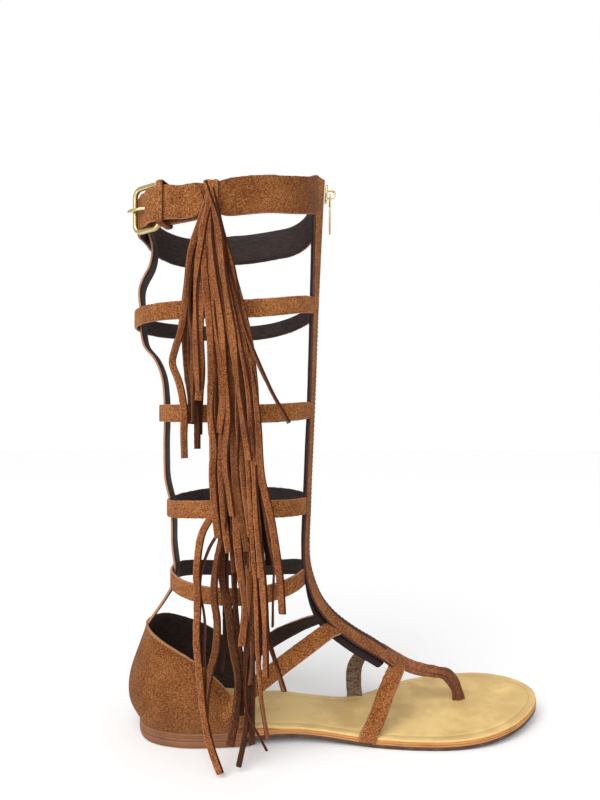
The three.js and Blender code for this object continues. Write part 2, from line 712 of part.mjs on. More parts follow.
// The tab: an eye that passes under the bridge, and a slim body below it. It hangs straight down.
const tabPivot = sliderFrame.at.clone().addScaledVector(sliderFrame.out, SLIDER.standoff + TAB.height);
tabPivot.addScaledVector(sliderFrame.up, -TAB.drop);
function pullTab() {
  const eye = frameGeometry(TAB.eyeWidth, TAB.eyeHeight, TAB.eyeCorner, TAB.thick, TAB.thick);
  eye.translate(0, (TAB.thick - TAB.eyeHeight) / 2, -TAB.thick / 2);
  const bodyLength = TAB.length - TAB.eyeHeight + TAB.lap;
  const outline = roundedOutline(THREE.Shape, TAB.body, bodyLength, TAB.bodyCorner);
  const body = new THREE.ExtrudeGeometry(outline, { depth: TAB.thick, bevelEnabled: false, curveSegments: 5 });
  body.translate(0, TAB.thick / 2 - TAB.eyeHeight + TAB.lap - bodyLength / 2, -TAB.thick / 2);
  const hang = new THREE.Matrix4().makeBasis(new THREE.Vector3(0, 1, 0), UP, new THREE.Vector3(1, 0, 0));
  hang.setPosition(tabPivot);
  return solid(eye.applyMatrix4(hang)).add(solid(body.applyMatrix4(hang)));
}

// ---------------------------------------------------------------- tassel
// Each strand is a flat strip that keeps its share of the spread from the loop down to its own end.
function strand(end, index) {
  const share = (index * 5) % STRAND_ENDS.length / (STRAND_ENDS.length - 1);
  const inset = STRAND.width / 2;
  const y = STRAND.y + ((index % STRAND.layers) - 1) * STRAND.layer;
  const rows = TASSEL_SPREAD.filter((row) => row.z > end + 4).map((row) => row.z);
  const path = [...rows, end].map((z) => {
    const back = column(TASSEL_SPREAD, 'z', z, 'back') + inset;
    const front = column(TASSEL_SPREAD, 'z', z, 'front') - inset;
    return { x: THREE.MathUtils.lerp(back, front, share), y, z };
  });
  const outer = () => new THREE.Vector3(0, -1, 0);
  const places = stations(curveThrough(path), path.length * 2, outer);
  return sweep(places, () => rectangle(STRAND.width, STRAND.thick));
}

function tassel() {
  const top = TASSEL_SPREAD[0];
  const depth = STRAND.layers * STRAND.layer;
  const width = top.front - top.back + 2 * TASSEL_HEAD.margin;
  const head = new THREE.BoxGeometry(width, depth, TASSEL_HEAD.height);
  head.translate((top.front + top.back) / 2, STRAND.y, top.z - TASSEL_HEAD.drop);
  return joined([solid(head), ...STRAND_ENDS.map(strand)]);
}

// ---------------------------------------------------------------- the model
const root = new THREE.Group();
function place(name, body, colour, roughness, metalness = 0) {
  const mesh = body.getMesh();
  const geometry = new THREE.BufferGeometry();
  geometry.setAttribute('position', new THREE.Float32BufferAttribute(mesh.vertProperties, 3));
  geometry.setIndex([...mesh.triVerts]);
  geometry.computeVertexNormals();
  const material = new THREE.MeshStandardMaterial({ color: colour, roughness, metalness });
  const part = new THREE.Mesh(geometry, material);
  part.name = name;
  root.add(part);
}
place('heel_lift', heelLift, 0xb4794a, 0.6);
place('outsole', outsole, 0x3a2a22, 0.7);
place('midsole', midsole, 0xc08848, 0.6);
place('insole', insole, 0xdcbe7d, 0.55);
place('upper', upper, 0xb06c38, 0.95);
place('zip_tape', zip(), 0x8a5030, 0.8);
place('zip_slider', slider(), 0xd9c27e, 0.3, 1);
place('zip_pull_tab', pullTab(), 0xd9c27e, 0.3, 1);
place('buckle_frame', buckle, 0xd9c27e, 0.3, 1);
place('buckle_prong', prong(PRONG.radius), 0xd9c27e, 0.3, 1);
place('collar_strap_end', strapEnd().subtract(prong(PRONG.hole)), 0xb06c38, 0.95);
place('keeper_loop', collarLoop(KEEPER, strapEndStandoff(KEEPER.x)), 0xa8642f, 0.95);
place('tassel_loop', collarLoop(TASSEL_LOOP, 0), 0xa8642f, 0.95);
place('tassel', tassel(), 0xb0703c, 0.95);

export default root;
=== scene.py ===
import math
from collections import namedtuple

import bmesh
import bpy
from mathutils import Matrix, Vector, noise


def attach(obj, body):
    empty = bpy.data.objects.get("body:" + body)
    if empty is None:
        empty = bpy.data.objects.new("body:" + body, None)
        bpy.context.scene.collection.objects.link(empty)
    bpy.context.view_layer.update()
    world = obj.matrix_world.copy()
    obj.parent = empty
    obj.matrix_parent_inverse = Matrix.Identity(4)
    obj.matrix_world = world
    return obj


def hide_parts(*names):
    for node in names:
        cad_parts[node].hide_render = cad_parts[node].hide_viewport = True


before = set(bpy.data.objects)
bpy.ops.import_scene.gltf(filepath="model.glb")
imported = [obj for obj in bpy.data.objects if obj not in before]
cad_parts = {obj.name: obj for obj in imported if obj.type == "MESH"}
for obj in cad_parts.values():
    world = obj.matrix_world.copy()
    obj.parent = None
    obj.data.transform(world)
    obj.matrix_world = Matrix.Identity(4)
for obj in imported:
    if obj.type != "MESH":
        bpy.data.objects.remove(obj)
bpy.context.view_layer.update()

# ---- the studio
# A right gladiator sandal stands empty on a pale floor, seen from its outer side.
# Two large soft lamps and a white room light it.
EYE = (0.0745, -0.380, 0.196)
LENS_LENGTH = 25.97
LENS_RISE = 0.03
LENS_FIELD = 36
SUN_FROM = Vector((-0.45, -1.0, 1.15))
SUN_STRENGTH = 2.3
SUN_SOFTNESS = math.radians(55)
LAMPS = [
    ("left_softbox", (-0.75, -0.85, 0.45), 0.7, 2.5),
    ("right_softbox", (1.0, -0.8, 0.5), 0.7, 2.0),
]
LAMPS_AIM_AT = Vector((0.07, 0, 0.16))
ROOM_LIGHT = 0.5
FLOOR_HALF = 4
FLOOR_BELOW = 0.0003
CORNERS = ((1, -1), (1, 1), (-1, 1), (-1, -1))
scene = bpy.context.scene


def stand(name, data):
    """A new object in the scene."""
    made = bpy.data.objects.new(name, data)
    scene.collection.objects.link(made)
    return made


def colour(red, green, blue):
    """A shade given from 0 to 255, as the renderer's own linear numbers."""
    shares = [value / 255 for value in (red, green, blue)]
    return tuple(s / 12.92 if s <= 0.04045 else ((s + 0.055) / 1.055) ** 2.4 for s in shares) + (1,)


class Value:
    """What comes out of a node. Arithmetic on it adds Math nodes."""

    def __init__(self, tree, socket):
        self.tree = tree
        self.socket = socket

    def maths(self, operation, first, second):
        return self.tree.node("ShaderNodeMath", {"operation": operation}, {0: first, 1: second})

    def __add__(self, other):
        return self.maths("ADD", self, other)

    def __sub__(self, other):
        return self.maths("SUBTRACT", self, other)

    def __rsub__(self, other):
        return self.maths("SUBTRACT", other, self)

    def __mul__(self, other):
        return self.maths("MULTIPLY", self, other)

    def __pow__(self, other):
        return self.maths("POWER", self, other)

    __radd__ = __add__
    __rmul__ = __mul__


class Tree:
    """A node tree, and the one way in which nodes are added to it."""

    def __init__(self, tree):
        self.tree = tree

    def node(self, kind, settings=None, values=None, output=0):
        made = self.tree.nodes.new(kind)
        for name, setting in (settings or {}).items():
            if name == "stops":
                elements = made.color_ramp.elements
                while len(elements) < len(setting):
                    elements.new(1)
                for element, (position, shade) in zip(elements, setting):
                    element.position = position
                    element.color = shade
            else:
                setattr(made, name, setting)
        for name, value in (values or {}).items():
            if isinstance(value, Value):
                self.tree.links.new(value.socket, made.inputs[name])
            else:
                made.inputs[name].default_value = value
        return Value(self, made.outputs[output])


class Finish(Tree):
    """A material whose look is worked out from each point's place on the sandal."""

    def __init__(self, name, steady):
        self.material = bpy.data.materials.new(name)
        self.material.use_nodes = True
        super().__init__(self.material.node_tree)
        self.surface = self.tree.nodes["Principled BSDF"]
        for socket, value in steady.items():
            self.surface.inputs[socket].default_value = value
        self.place = self.node("ShaderNodeTexCoord", output="Object")

    def x(self):
        return self.node("ShaderNodeSeparateXYZ", {}, {0: self.place})

    def stretched(self, along, across, up):
        values = {"Vector": self.place, "Scale": (along, across, up)}
        return self.node("ShaderNodeMapping", {}, values)

    def grain(self, scale, detail=2, source=None, rough=0.55):
        values = {"Vector": source or self.place, "Scale": scale, "Detail": detail, "Roughness": rough}
        return self.node("ShaderNodeTexNoise", {}, values)

    def mark(self, name):
        return self.node("ShaderNodeAttribute", {"attribute_name": name}, output="Fac")

    def between(self, value, low, high):
        values = {0: value, 1: low, 2: high, 3: 0.0, 4: 1.0}
        return self.node("ShaderNodeMapRange", {"interpolation_type": "SMOOTHSTEP"}, values)

    def shades(self, value, stops):
        return self.node("ShaderNodeValToRGB", {"stops": stops}, {0: value})

    def mix(self, factor, first, second, way="MIX"):
        settings = {"data_type": "RGBA", "blend_type": way}
        return self.node("ShaderNodeMix", settings, {0: factor, 6: first, 7: second}, output=2)

    def give(self, socket, value):
        self.tree.links.new(value.socket, self.surface.inputs[socket])

    def relief(self, height, depth):
        self.give("Normal", self.node("ShaderNodeBump", {}, {"Height": height, "Distance": depth}))


eye = stand("eye", bpy.data.cameras.new("eye"))
eye.data.sensor_fit = "VERTICAL"
eye.data.sensor_height = LENS_FIELD
eye.data.lens = LENS_LENGTH
eye.data.shift_y = LENS_RISE
eye.data.clip_start = 0.01
eye.location = EYE
eye.rotation_euler = (math.radians(90), 0, 0)
scene.camera = eye

for name, spot, size, power in LAMPS:
    lamp = stand(name, bpy.data.lights.new(name, "AREA"))
    lamp.data.size = size
    lamp.data.energy = power
    lamp.location = spot
    lamp.rotation_euler = (LAMPS_AIM_AT - Vector(spot)).to_track_quat("-Z", "Y").to_euler()

sun = stand("sun", bpy.data.lights.new("sun", "SUN"))
sun.data.energy = SUN_STRENGTH
sun.data.angle = SUN_SOFTNESS
sun.rotation_euler = SUN_FROM.to_track_quat("Z", "Y").to_euler()

scene.world = bpy.data.worlds.new("room")
scene.world.use_nodes = True
room = Tree(scene.world.node_tree)
seen = room.node("ShaderNodeLightPath", output="Is Camera Ray")
background = scene.world.node_tree.nodes["Background"]
background.inputs["Color"].default_value = (1, 1, 1, 1)
room_strength = seen * (1 - ROOM_LIGHT) + ROOM_LIGHT
room.tree.links.new(room_strength.socket, background.inputs["Strength"])
scene.view_settings.view_transform = "Standard"

floor_looks = {"Base Color": colour(252, 252, 252), "Roughness": 0.9, "Specular IOR Level": 0.1}
floor_mesh = bpy.data.meshes.new("floor")
floor_corners = [(x * FLOOR_HALF, y * FLOOR_HALF, -FLOOR_BELOW) for x, y in CORNERS]
floor_mesh.from_pydata(floor_corners, [], [(0, 1, 2, 3)])
floor_mesh.materials.append(Finish("pale_floor", floor_looks).material)
stand("floor", floor_mesh)

# ---- the outsole
# A thin sheet of dark rubber, cut to the foot's outline and glued under the midsole.
# It runs from the heel lift over a shallow arch, lies flat at the ball and turns up at the toe.
MM = 0.001
GAP = 0.3
SOLE_HEEL = (-30, 0)
SOLE_TOE = (235, 18)
SOLE_ROWS = [
    (-21, -22, 22), (0, -31, 31), (42, -30, 27), (75, -27, 19), (105, -29, 20), (125, -32, 31),
    (145, -34, 45), (168, -34, 54), (190, -30, 56), (208, -21.5, 52.5), (223, -8, 43), (231.5, 4, 32),
]
UNDERSIDE = [
    (-40, 4), (42, 4), (62, 4.6), (85, 3.2), (108, 0.8), (122, 0), (166, 0), (186, 1.1), (208, 3.6),
    (240, 7.4),
]
OUTSOLE_THICK = 1.8
SOLE_STEPS_PER_ROW = 9
SOLE_STEPS_ACROSS = 12
SOLE_TIP = 0.004
HEEL_LINE = (0.0435, 0.0405)
SHARP_FOLD = math.radians(48)
RUBBER = colour(62, 42, 33)
RUBBER_SCUFFED = colour(96, 70, 54)
HEEL_TAN = colour(136, 88, 52)
HEEL_TAN_DARK = colour(110, 68, 40)


def at_heel(finish):
    """1 over the heel lift, where the sole's whole edge is burnished as one, and 0 in front of it."""
    return finish.between(finish.x(), *HEEL_LINE)


def burnished(finish):
    """The tan of the heel's edge: stacked leather, sanded, dyed and waxed."""
    cloud = finish.grain(70, 3)
    layers = finish.grain(1, 2, finish.stretched(60, 60, 2600))
    return finish.shades(cloud * 0.6 + layers * 0.4, [(0.35, HEEL_TAN_DARK), (0.62, HEEL_TAN)])


def curve(a, b, leave, arrive, part):
    """A part of the way along the cubic from a to b that has these slopes at its ends."""
    bend = 3 * (b - a) - 2 * leave - arrive
    return a + leave * part + bend * part**2 + (2 * (a - b) + leave + arrive) * part**3


class Path:
    """A smooth line through places, counted in rows from the first."""

    def __init__(self, places, closed=False):
        self.places = [Vector(place) for place in places]
        self.closed = closed
        self.rows = len(places) if closed else len(places) - 1

    def __call__(self, row):
        count = len(self.places)
        row = row % count if self.closed else min(max(row, 0), self.rows)
        index = min(int(row), self.rows - 1)
        p1 = self.places[index]
        p2 = self.places[(index + 1) % count]
        p0 = self.places[index - 1] if self.closed or index else 2 * p1 - p2
        p3 = self.places[(index + 2) % count] if self.closed or index + 2 < count else 2 * p2 - p1
        before, here, after = [max((b - a).length, 1e-6) ** 0.5 for a, b in ((p0, p1), (p1, p2), (p2, p3))]
        leave = ((p1 - p0) / before - (p2 - p0) / (before + here) + (p2 - p1) / here) * here
        arrive = ((p2 - p1) / here - (p3 - p1) / (here + after) + (p3 - p2) / after) * here
        return curve(p1, p2, leave, arrive, row - index)


def eased(table, value):
    """Reads a table of (key, reading) rows, curving through them."""
    value = min(max(value, table[0][0]), table[-1][0])
    last = len(table) - 1
    index = max([i for i in range(last) if table[i][0] <= value])
    (x1, y1), (x2, y2) = table[index : index + 2]
    x0, y0 = table[max(index - 1, 0)]
    x3, y3 = table[min(index + 2, last)]
    leave = (y2 - y0) / (x2 - x0) * (x2 - x1)
    arrive = (y3 - y1) / (x3 - x1) * (x2 - x1)
    return curve(y1, y2, leave, arrive, (value - x1) / (x2 - x1))


class Shell:
    """A closed mesh that is built up from rows of sections, in millimetres."""

    def __init__(self):
        self.points = []
        self.faces = []
        self.finish_of = []
        self.marks = {"rim": [], "tint": []}

    def skin(self, sections, finishes, rims, tints=None, closed=False):
        """Skins sections that have the same count of points. finishes and rims go round a section,
        and tints, the shares of the deep shade, go from section to section."""
        start = len(self.points)
        count = len(finishes)
        for section, tint in zip(sections, tints or [0] * len(sections)):
            self.points += section
            self.marks["rim"] += rims
            self.marks["tint"] += [tint] * count
        for i in range(len(sections) if closed else len(sections) - 1):
            near = start + i * count
            far = start + (i + 1) % len(sections) * count
            for j in range(count):
                k = (j + 1) % count
                self.faces.append((near + j, near + k, far + k, far + j))
                self.finish_of.append(finishes[j])
        if not closed:
            for end in (start, start + (len(sections) - 1) * count):
                self.faces.append(tuple(range(end, end + count)))
                self.finish_of.append(finishes[0])

    def made(self, name, finishes):
        mesh = bpy.data.meshes.new(name)
        mesh.from_pydata([point * MM for point in self.points], [], self.faces)
        for mark, values in self.marks.items():
            mesh.attributes.new(mark, "FLOAT", "POINT").data.foreach_set("value", values)
        for finish in finishes:
            mesh.materials.append(finish.material)
        mesh.polygons.foreach_set("material_index", self.finish_of)
        tidied = bmesh.new()
        tidied.from_mesh(mesh)
        bmesh.ops.remove_doubles(tidied, verts=tidied.verts, dist=2e-6)
        bmesh.ops.recalc_face_normals(tidied, faces=tidied.faces)
        tidied.to_mesh(mesh)
        tidied.free()
        mesh.shade_smooth()
        mesh.set_sharp_from_angle(angle=SHARP_FOLD)
        return stand(name, mesh)


sole_path = Path(
    [(*SOLE_HEEL, 0)]
    + [(x, lateral, 0) for x, lateral, medial in SOLE_ROWS]
    + [(*SOLE_TOE, 0)]
    + [(x, medial, 0) for x, lateral, medial in reversed(SOLE_ROWS)],
    closed=True,
)
SOLE_SPANS = len(SOLE_ROWS) + 1


def sole_edge(row, inset):
    """A place on the sole's edge, and the way out from it. Rows below 0 are on the inner side."""
    row = row % sole_path.rows
    along = (sole_path(row + 0.01) - sole_path(row - 0.01)).normalized()
    outward = Vector((along.y, -along.x, 0))
    return sole_path(row) - outward * inset, outward


def underside(x):
    return eased(UNDERSIDE, x)


def sole_layer(bottom_at, profile, inset_at=lambda row: 0, last_row=SOLE_SPANS):
    """A layer of the sole. profile gives (inset, height, finish, rim) from its bottom round to its top."""
    count = round(last_row * SOLE_STEPS_PER_ROW)
    sections = []
    for i in range(count + 1):
        row = min(max(last_row * i / count, SOLE_TIP), SOLE_SPANS - SOLE_TIP)
        inset = inset_at(row)
        sides = []
        for side in (1, -1):
            edge = []
            for further, height, finish, rim in profile:
                at = sole_edge(row * side, inset + further)[0]
                at.z = bottom_at(at.x, at.y) + height
                edge.append(at)
            sides.append(edge)
        outer, inner = sides
        steps = [j / SOLE_STEPS_ACROSS for j in range(1, SOLE_STEPS_ACROSS)]
        top = [outer[-1].lerp(inner[-1], step) for step in steps]
        under = [inner[0].lerp(outer[0], step) for step in steps]
        for points, height in ((top, profile[-1][1]), (under, profile[0][1])):
            for point in points:
                point.z = bottom_at(point.x, point.y) + height
        sections.append(outer + top + inner[::-1] + under)
    finishes = [row[2] for row in profile]
    rims = [row[3] for row in profile]
    flat = [0] * (SOLE_STEPS_ACROSS - 1)
    finishes = finishes + flat + finishes[::-1] + [finishes[0]] * len(flat)
    shell = Shell()
    shell.skin(sections, finishes, rims + flat + rims[::-1] + flat)
    return shell


rubber = Finish("outsole_rubber", {"Roughness": 0.7})
rubber_scuffs = rubber.grain(160, 4)
rubber_base = rubber.shades(rubber_scuffs, [(0.4, RUBBER), (0.75, RUBBER_SCUFFED)])
rubber.give("Base Color", rubber.mix(at_heel(rubber), rubber_base, burnished(rubber)))
rubber.relief(rubber.grain(900, 2), 0.0002)

outsole_rim = [(0.9, 0, 0, 0), (0.35, 0.12, 0, 0), (0.1, 0.5, 0, 0), (0.1, 1.5, 0, 0), (0.4, 2.08, 0, 0)]
outsole = sole_layer(lambda x, y: underside(x), outsole_rim).made("outsole", [rubber])
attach(outsole, "sandal")
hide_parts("outsole")

# ---- the heel lift
# A low block of stacked leather under the heel, burnished to the same tan as the welt.
# It is glued under the outsole and ends at the breast, in front of the heel.
BREAST_ROW = 3
HEEL_LIFT_HEIGHT = 3.98
HEEL_TREAD = colour(70, 48, 36)

heel_leather = Finish("heel_leather", {"Specular IOR Level": 0.4})
heel_leather.give("Base Color", burnished(heel_leather))
heel_leather.give("Roughness", heel_leather.grain(70, 3) * 0.3 + 0.4)
heel_leather.relief(heel_leather.grain(1, 2, heel_leather.stretched(60, 60, 2600)), 0.00015)
heel_tread = Finish("heel_tread", {"Roughness": 0.8})
tread_scuffs = heel_tread.grain(200, 3)
heel_tread.give("Base Color", heel_tread.shades(tread_scuffs, [(0.4, HEEL_TREAD), (0.7, RUBBER_SCUFFED)]))
heel_tread.relief(heel_tread.grain(700, 2), 0.0002)

heel_rim = [
    (1.0, 0, 1, 0), (0.4, 0.1, 0, 0), (0.1, 0.5, 0, 0), (-0.1, 2.0, 0, 0), (-0.1, 3.4, 0, 0),
    (0.3, HEEL_LIFT_HEIGHT, 0, 0),
]
heel_shell = sole_layer(lambda x, y: 0, heel_rim, last_row=BREAST_ROW)
heel_lift = heel_shell.made("heel_lift", [heel_leather, heel_tread])
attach(heel_lift, "sandal")
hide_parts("heel_lift")

# ---- the midsole
# A layer of vegetable-tanned leather between outsole and insole, its cut edge dyed and waxed.
# A pale top edge and a scored groove run all the way round it.
MIDSOLE_THICK = 2.4
MIDSOLE_BOTTOM = OUTSOLE_THICK + GAP
SOLE_TAN = colour(196, 138, 78)
SOLE_TAN_DARK = colour(168, 108, 56)
SOLE_GROOVE = colour(120, 72, 36)

sole_leather = Finish("sole_leather", {"Specular IOR Level": 0.45})
sole_cloud = sole_leather.grain(90, 3)
sole_layers = sole_leather.grain(1, 3, sole_leather.stretched(40, 40, 2400))
sole_tone = sole_cloud * 0.5 + sole_layers * 0.5
sole_base = sole_leather.shades(sole_tone, [(0.35, SOLE_TAN_DARK), (0.6, SOLE_TAN)])
sole_shade = sole_leather.mix(at_heel(sole_leather), sole_base, burnished(sole_leather))
sole_groove = sole_leather.mark("rim") * (1 - at_heel(sole_leather) * 0.8)
sole_leather.give("Base Color", sole_leather.mix(sole_groove, sole_shade, SOLE_GROOVE))
sole_leather.give("Roughness", sole_cloud * 0.25 + 0.4)
sole_leather.relief(sole_layers, 0.0002)

midsole_rim = [
    (0.5, 0, 0, 0), (0.05, 0.25, 0, 0), (0, 0.8, 0, 0), (0, 1.25, 0, 0), (0.3, 1.4, 0, 1), (0, 1.55, 0, 0),
    (0, 2.3, 0, 0), (0.4, MIDSOLE_THICK + 0.28, 0, 0),
]
midsole = sole_layer(lambda x, y: underside(x) + MIDSOLE_BOTTOM, midsole_rim).made("midsole", [sole_leather])
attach(midsole, "sandal")
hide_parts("midsole")

# ---- the insole
# Smooth pale leather over the midsole, with a line creased a little way in from its edge.
# It stands inside the counter at the heel, is pressed by the foot, and is slit for the thong.
INSOLE_BOTTOM = MIDSOLE_BOTTOM + MIDSOLE_THICK + GAP
LEATHER = 2.0
INSOLE_INSIDE_COUNTER = 3.3
INSOLE_INSET = 0.3
COUNTER_FRONT_ROWS = (3.2, 3.7)
# Where it is pressed down, by the slit, the ball and the heel: x, y, length, width and depth.
INSOLE_DENTS = [(183.6, 15.4, 4, 4, 0.9), (140, 8, 26, 24, 0.5), (0, 0, 26, 20, 0.5)]
INSOLE_PALE = colour(233, 200, 133)
INSOLE_WARM = colour(212, 178, 116)
INSOLE_WORN = colour(206, 172, 111)
INSOLE_LINE = colour(176, 142, 88)
INSOLE_EDGE = colour(206, 158, 92)


def eased_step(value, low, high):
    """0 below low, 1 above high, and an even S between them."""
    part = min(max((value - low) / (high - low), 0), 1)
    return part * part * (3 - 2 * part)


def insole_inset(row):
    step = eased_step(row, *COUNTER_FRONT_ROWS)
    return INSOLE_INSIDE_COUNTER + (INSOLE_INSET - INSOLE_INSIDE_COUNTER) * step


def insole_bottom(x, y):
    z = underside(x) + INSOLE_BOTTOM
    for along, across, long, wide, depth in INSOLE_DENTS:
        z -= depth * math.exp(-(((x - along) / long) ** 2) - ((y - across) / wide) ** 2)
    return z


insole_leather = Finish("insole_leather", {"Specular IOR Level": 0.35})
insole_cloud = insole_leather.grain(22, 3)
insole_stain = insole_leather.grain(75, 4)
insole_pores = insole_leather.grain(1500, 2)
insole_tone = insole_cloud * 0.6 + insole_stain * 0.35 + insole_pores * 0.1
insole_stops = [(0.36, INSOLE_WORN), (0.48, INSOLE_WARM), (0.6, INSOLE_PALE)]
insole_base = insole_leather.shades(insole_tone, insole_stops)
insole_leather.give("Base Color", insole_leather.mix(insole_leather.mark("rim"), insole_base, INSOLE_LINE))
insole_leather.give("Roughness", insole_stain * 0.3 + 0.35)
insole_leather.relief(insole_pores + insole_stain * 0.8, 0.00012)
insole_edge = Finish("insole_edge", {"Roughness": 0.6})
insole_edge.give("Base Color", insole_edge.mix(insole_edge.grain(400, 3), INSOLE_EDGE, INSOLE_PALE))

insole_rim = [
    (0.3, 0, 1, 0), (0, 0.3, 1, 0), (0, 1.15, 1, 0), (0.12, 1.38, 0, 0), (0.5, 1.5, 0, 0), (4.2, 1.5, 0, 0),
    (4.5, 1.36, 0, 0.9), (4.8, 1.5, 0, 0), (8, 1.5, 0, 0),
]
insole = sole_layer(insole_bottom, insole_rim, insole_inset).made("insole", [insole_leather, insole_edge])
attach(insole, "sandal")
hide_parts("insole")

# ---- the counter
# The heel cup: one panel of brushed suede over a thin lining, lasted round the heel and glued
# into the sole. Its top edge is cut raw and slopes down to the sole on both sides.
COUNTER_TOP = [(-40, 68), (-24, 66.5), (-5, 59.5), (10, 52.5), (23, 43), (33, 32), (46, 13)]
COUNTER_BACK = [(8, 0), (22, 7.5), (40, 5.5), (64, -3)]
COUNTER_SIDE = [(8, -0.4), (22, 2.6), (40, 2), (64, -2.5)]
COUNTER_END = 3.12
COUNTER_FOOT = UNDERSIDE[0][1] + INSOLE_BOTTOM
COUNTER_COLUMNS = 96
COUNTER_LEVELS = 22
COUNTER_INSET = 0.5
COUNTER_DENT = 0.5
COUNTER_ROUND = 0.45
COUNTER_RAGGED = 0.25
SUEDE_LIGHT = colour(184, 124, 72)
SUEDE = colour(134, 78, 38)
SUEDE_DARK = colour(88, 46, 20)
SUEDE_DEEP = colour(70, 36, 8)
PANEL_TINT = 0.36
RAW_EDGE = colour(186, 134, 102)
EDGE_PAINT = colour(66, 32, 32)
# The lining is taupe leather. The next two shades are painted shade, near-black, for where it lies inside the
# shaft.
LINING = colour(56, 41, 35)
LINING_SHADE_DARK = colour(28, 19, 18)
LINING_TAUPE = colour(128, 106, 88)
LINING_CREASE = colour(66, 48, 40)
LINING_SHADE_ENDS = (0.098, 0.104)


def suede_finish(name, light, middle, dark, deep, raw, mottle_size=1250):
    """Brushed suede: cloudy where hands have stroked the nap, speckled close to, pale where it is cut."""
    finish = Finish(name, {"Sheen Weight": 0.05, "Sheen Roughness": 0.6, "Specular IOR Level": 0.06})
    cloud = finish.grain(45, 3)
    mottle = finish.grain(mottle_size, 4, rough=0.65)
    nap = finish.grain(2400, 2)
    tone = cloud * 0.15 + mottle * 0.52 + nap * 0.33
    shade = finish.shades(tone, [(0.425, dark), (0.5, middle), (0.575, light)])
    # The tint mark mixes in the deep colour: darker dye on some pieces, painted shade on the tassel's back
    # strands.
    shade = finish.mix(finish.mark("tint"), shade, deep)
    fringe = finish.between(finish.mark("rim") + (nap - 0.5) * 0.5, 0.62, 0.95)
    finish.give("Base Color", finish.mix(fringe * (1 - finish.mark("tint")), shade, raw))
    finish.give("Roughness", nap * 0.12 + 0.84)
    finish.relief(mottle * 0.5 + nap, 0.0003)
    return finish


suede = suede_finish("suede", SUEDE_LIGHT, SUEDE, SUEDE_DARK, SUEDE_DEEP, RAW_EDGE)

edge_paint = Finish("edge_paint", {"Specular IOR Level": 0.4})
edge_wear = edge_paint.grain(600, 3)
edge_paint.give("Base Color", edge_paint.shades(edge_wear, [(0.45, EDGE_PAINT), (0.75, SUEDE_DEEP)]))
edge_paint.give("Roughness", edge_wear * 0.4 + 0.35)
edge_paint.relief(edge_wear, 0.0001)

# Behind about x = 100 mm the lining is painted near-black with the shade inside the shaft. In front it shows
# its own creased taupe.
lining = Finish("lining", {"Specular IOR Level": 0.25})
lining_creases = lining.grain(1, 3, lining.stretched(180, 180, 1300))
lining_pores = lining.grain(900, 3)
lining_tone = lining_creases * 0.6 + lining_pores * 0.4
lining_painted_shade = lining.shades(lining_tone, [(0.38, LINING_SHADE_DARK), (0.6, LINING)])
lining_taupe = lining.shades(lining_tone, [(0.42, LINING_CREASE), (0.5, LINING_TAUPE)])
lining_front = lining.between(lining.x(), *LINING_SHADE_ENDS)
lining.give("Base Color", lining.mix(lining_front, lining_painted_shade, lining_taupe))
lining.give("Roughness", lining_pores * 0.3 + 0.5)
lining.relief(lining_creases + lining_pores * 0.3, 0.0004)
UPPER_FINISHES = [suede, edge_paint, lining]

counter_sections = []
for i in range(COUNTER_COLUMNS + 1):
    row = COUNTER_END * (1 - 2 * i / COUNTER_COLUMNS)
    edge, outward = sole_edge(row, COUNTER_INSET)
    top = eased(COUNTER_TOP, edge.x)
    back = max(0, -outward.x) ** 2
    wall = []
    for depth, levels in ((0, range(COUNTER_LEVELS + 1)), (LEATHER, range(COUNTER_LEVELS, -1, -1))):
        for j in levels:
            share = j / COUNTER_LEVELS
            z = COUNTER_FOOT + (top - COUNTER_FOOT) * share
            bulge = eased(COUNTER_SIDE, z) * (1 - back) + eased(COUNTER_BACK, z) * back - depth
            dent = COUNTER_DENT * noise.noise(Vector((edge.x * 0.06, edge.y * 0.06, z * 0.07)))
            round_over = COUNTER_ROUND if j == COUNTER_LEVELS else 0
            bulge += dent * math.sin(math.pi * share) + (round_over if depth else -round_over)
            wall.append(edge + outward * bulge + Vector((0, 0, z)))
    for point in wall[COUNTER_LEVELS : COUNTER_LEVELS + 2]:
        point.z += COUNTER_RAGGED * noise.noise(Vector((i * 0.9, 7, 0)))
    counter_sections.append(wall)
counter_rims = [0] * (COUNTER_LEVELS - 1) + [0.35, 1, 1] + [0] * COUNTER_LEVELS
counter_finishes = [0] * (COUNTER_LEVELS + 1) + [2] * (COUNTER_LEVELS + 1)
counter_shell = Shell()
counter_shell.skin(counter_sections, counter_finishes, counter_rims, [PANEL_TINT] * len(counter_sections))
counter = counter_shell.made("counter", UPPER_FINISHES)
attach(counter, "sandal")
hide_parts("upper")

# ---- the back stay
# A loose strip of lined suede up the middle of the heel, sewn to the counter and behind each ring.
# It bows in towards the calf between the rings, so its lining shows from the side, painted near-black with
# the shade inside the shaft.
STAY_WIDTH = 12
STAY_BEHIND_RINGS = 1.2
STAY = [
    (-29, 50), (-25.6, 65), (-8.6, 94), (-9.4, 120), (-10, 143), (-13.6, 160), (-14.6, 182), (-14.2, 203),
    (-16, 226), (-20.5, 238), (-27.5, 247), (-29.6, 257), (-29.8, 268), (-30.4, 284), (-23.5, 300),
    (-22.5, 311), (-25.4, 324), (-25.6, 336),
]
Place = namedtuple("Place", "at along out across length row")


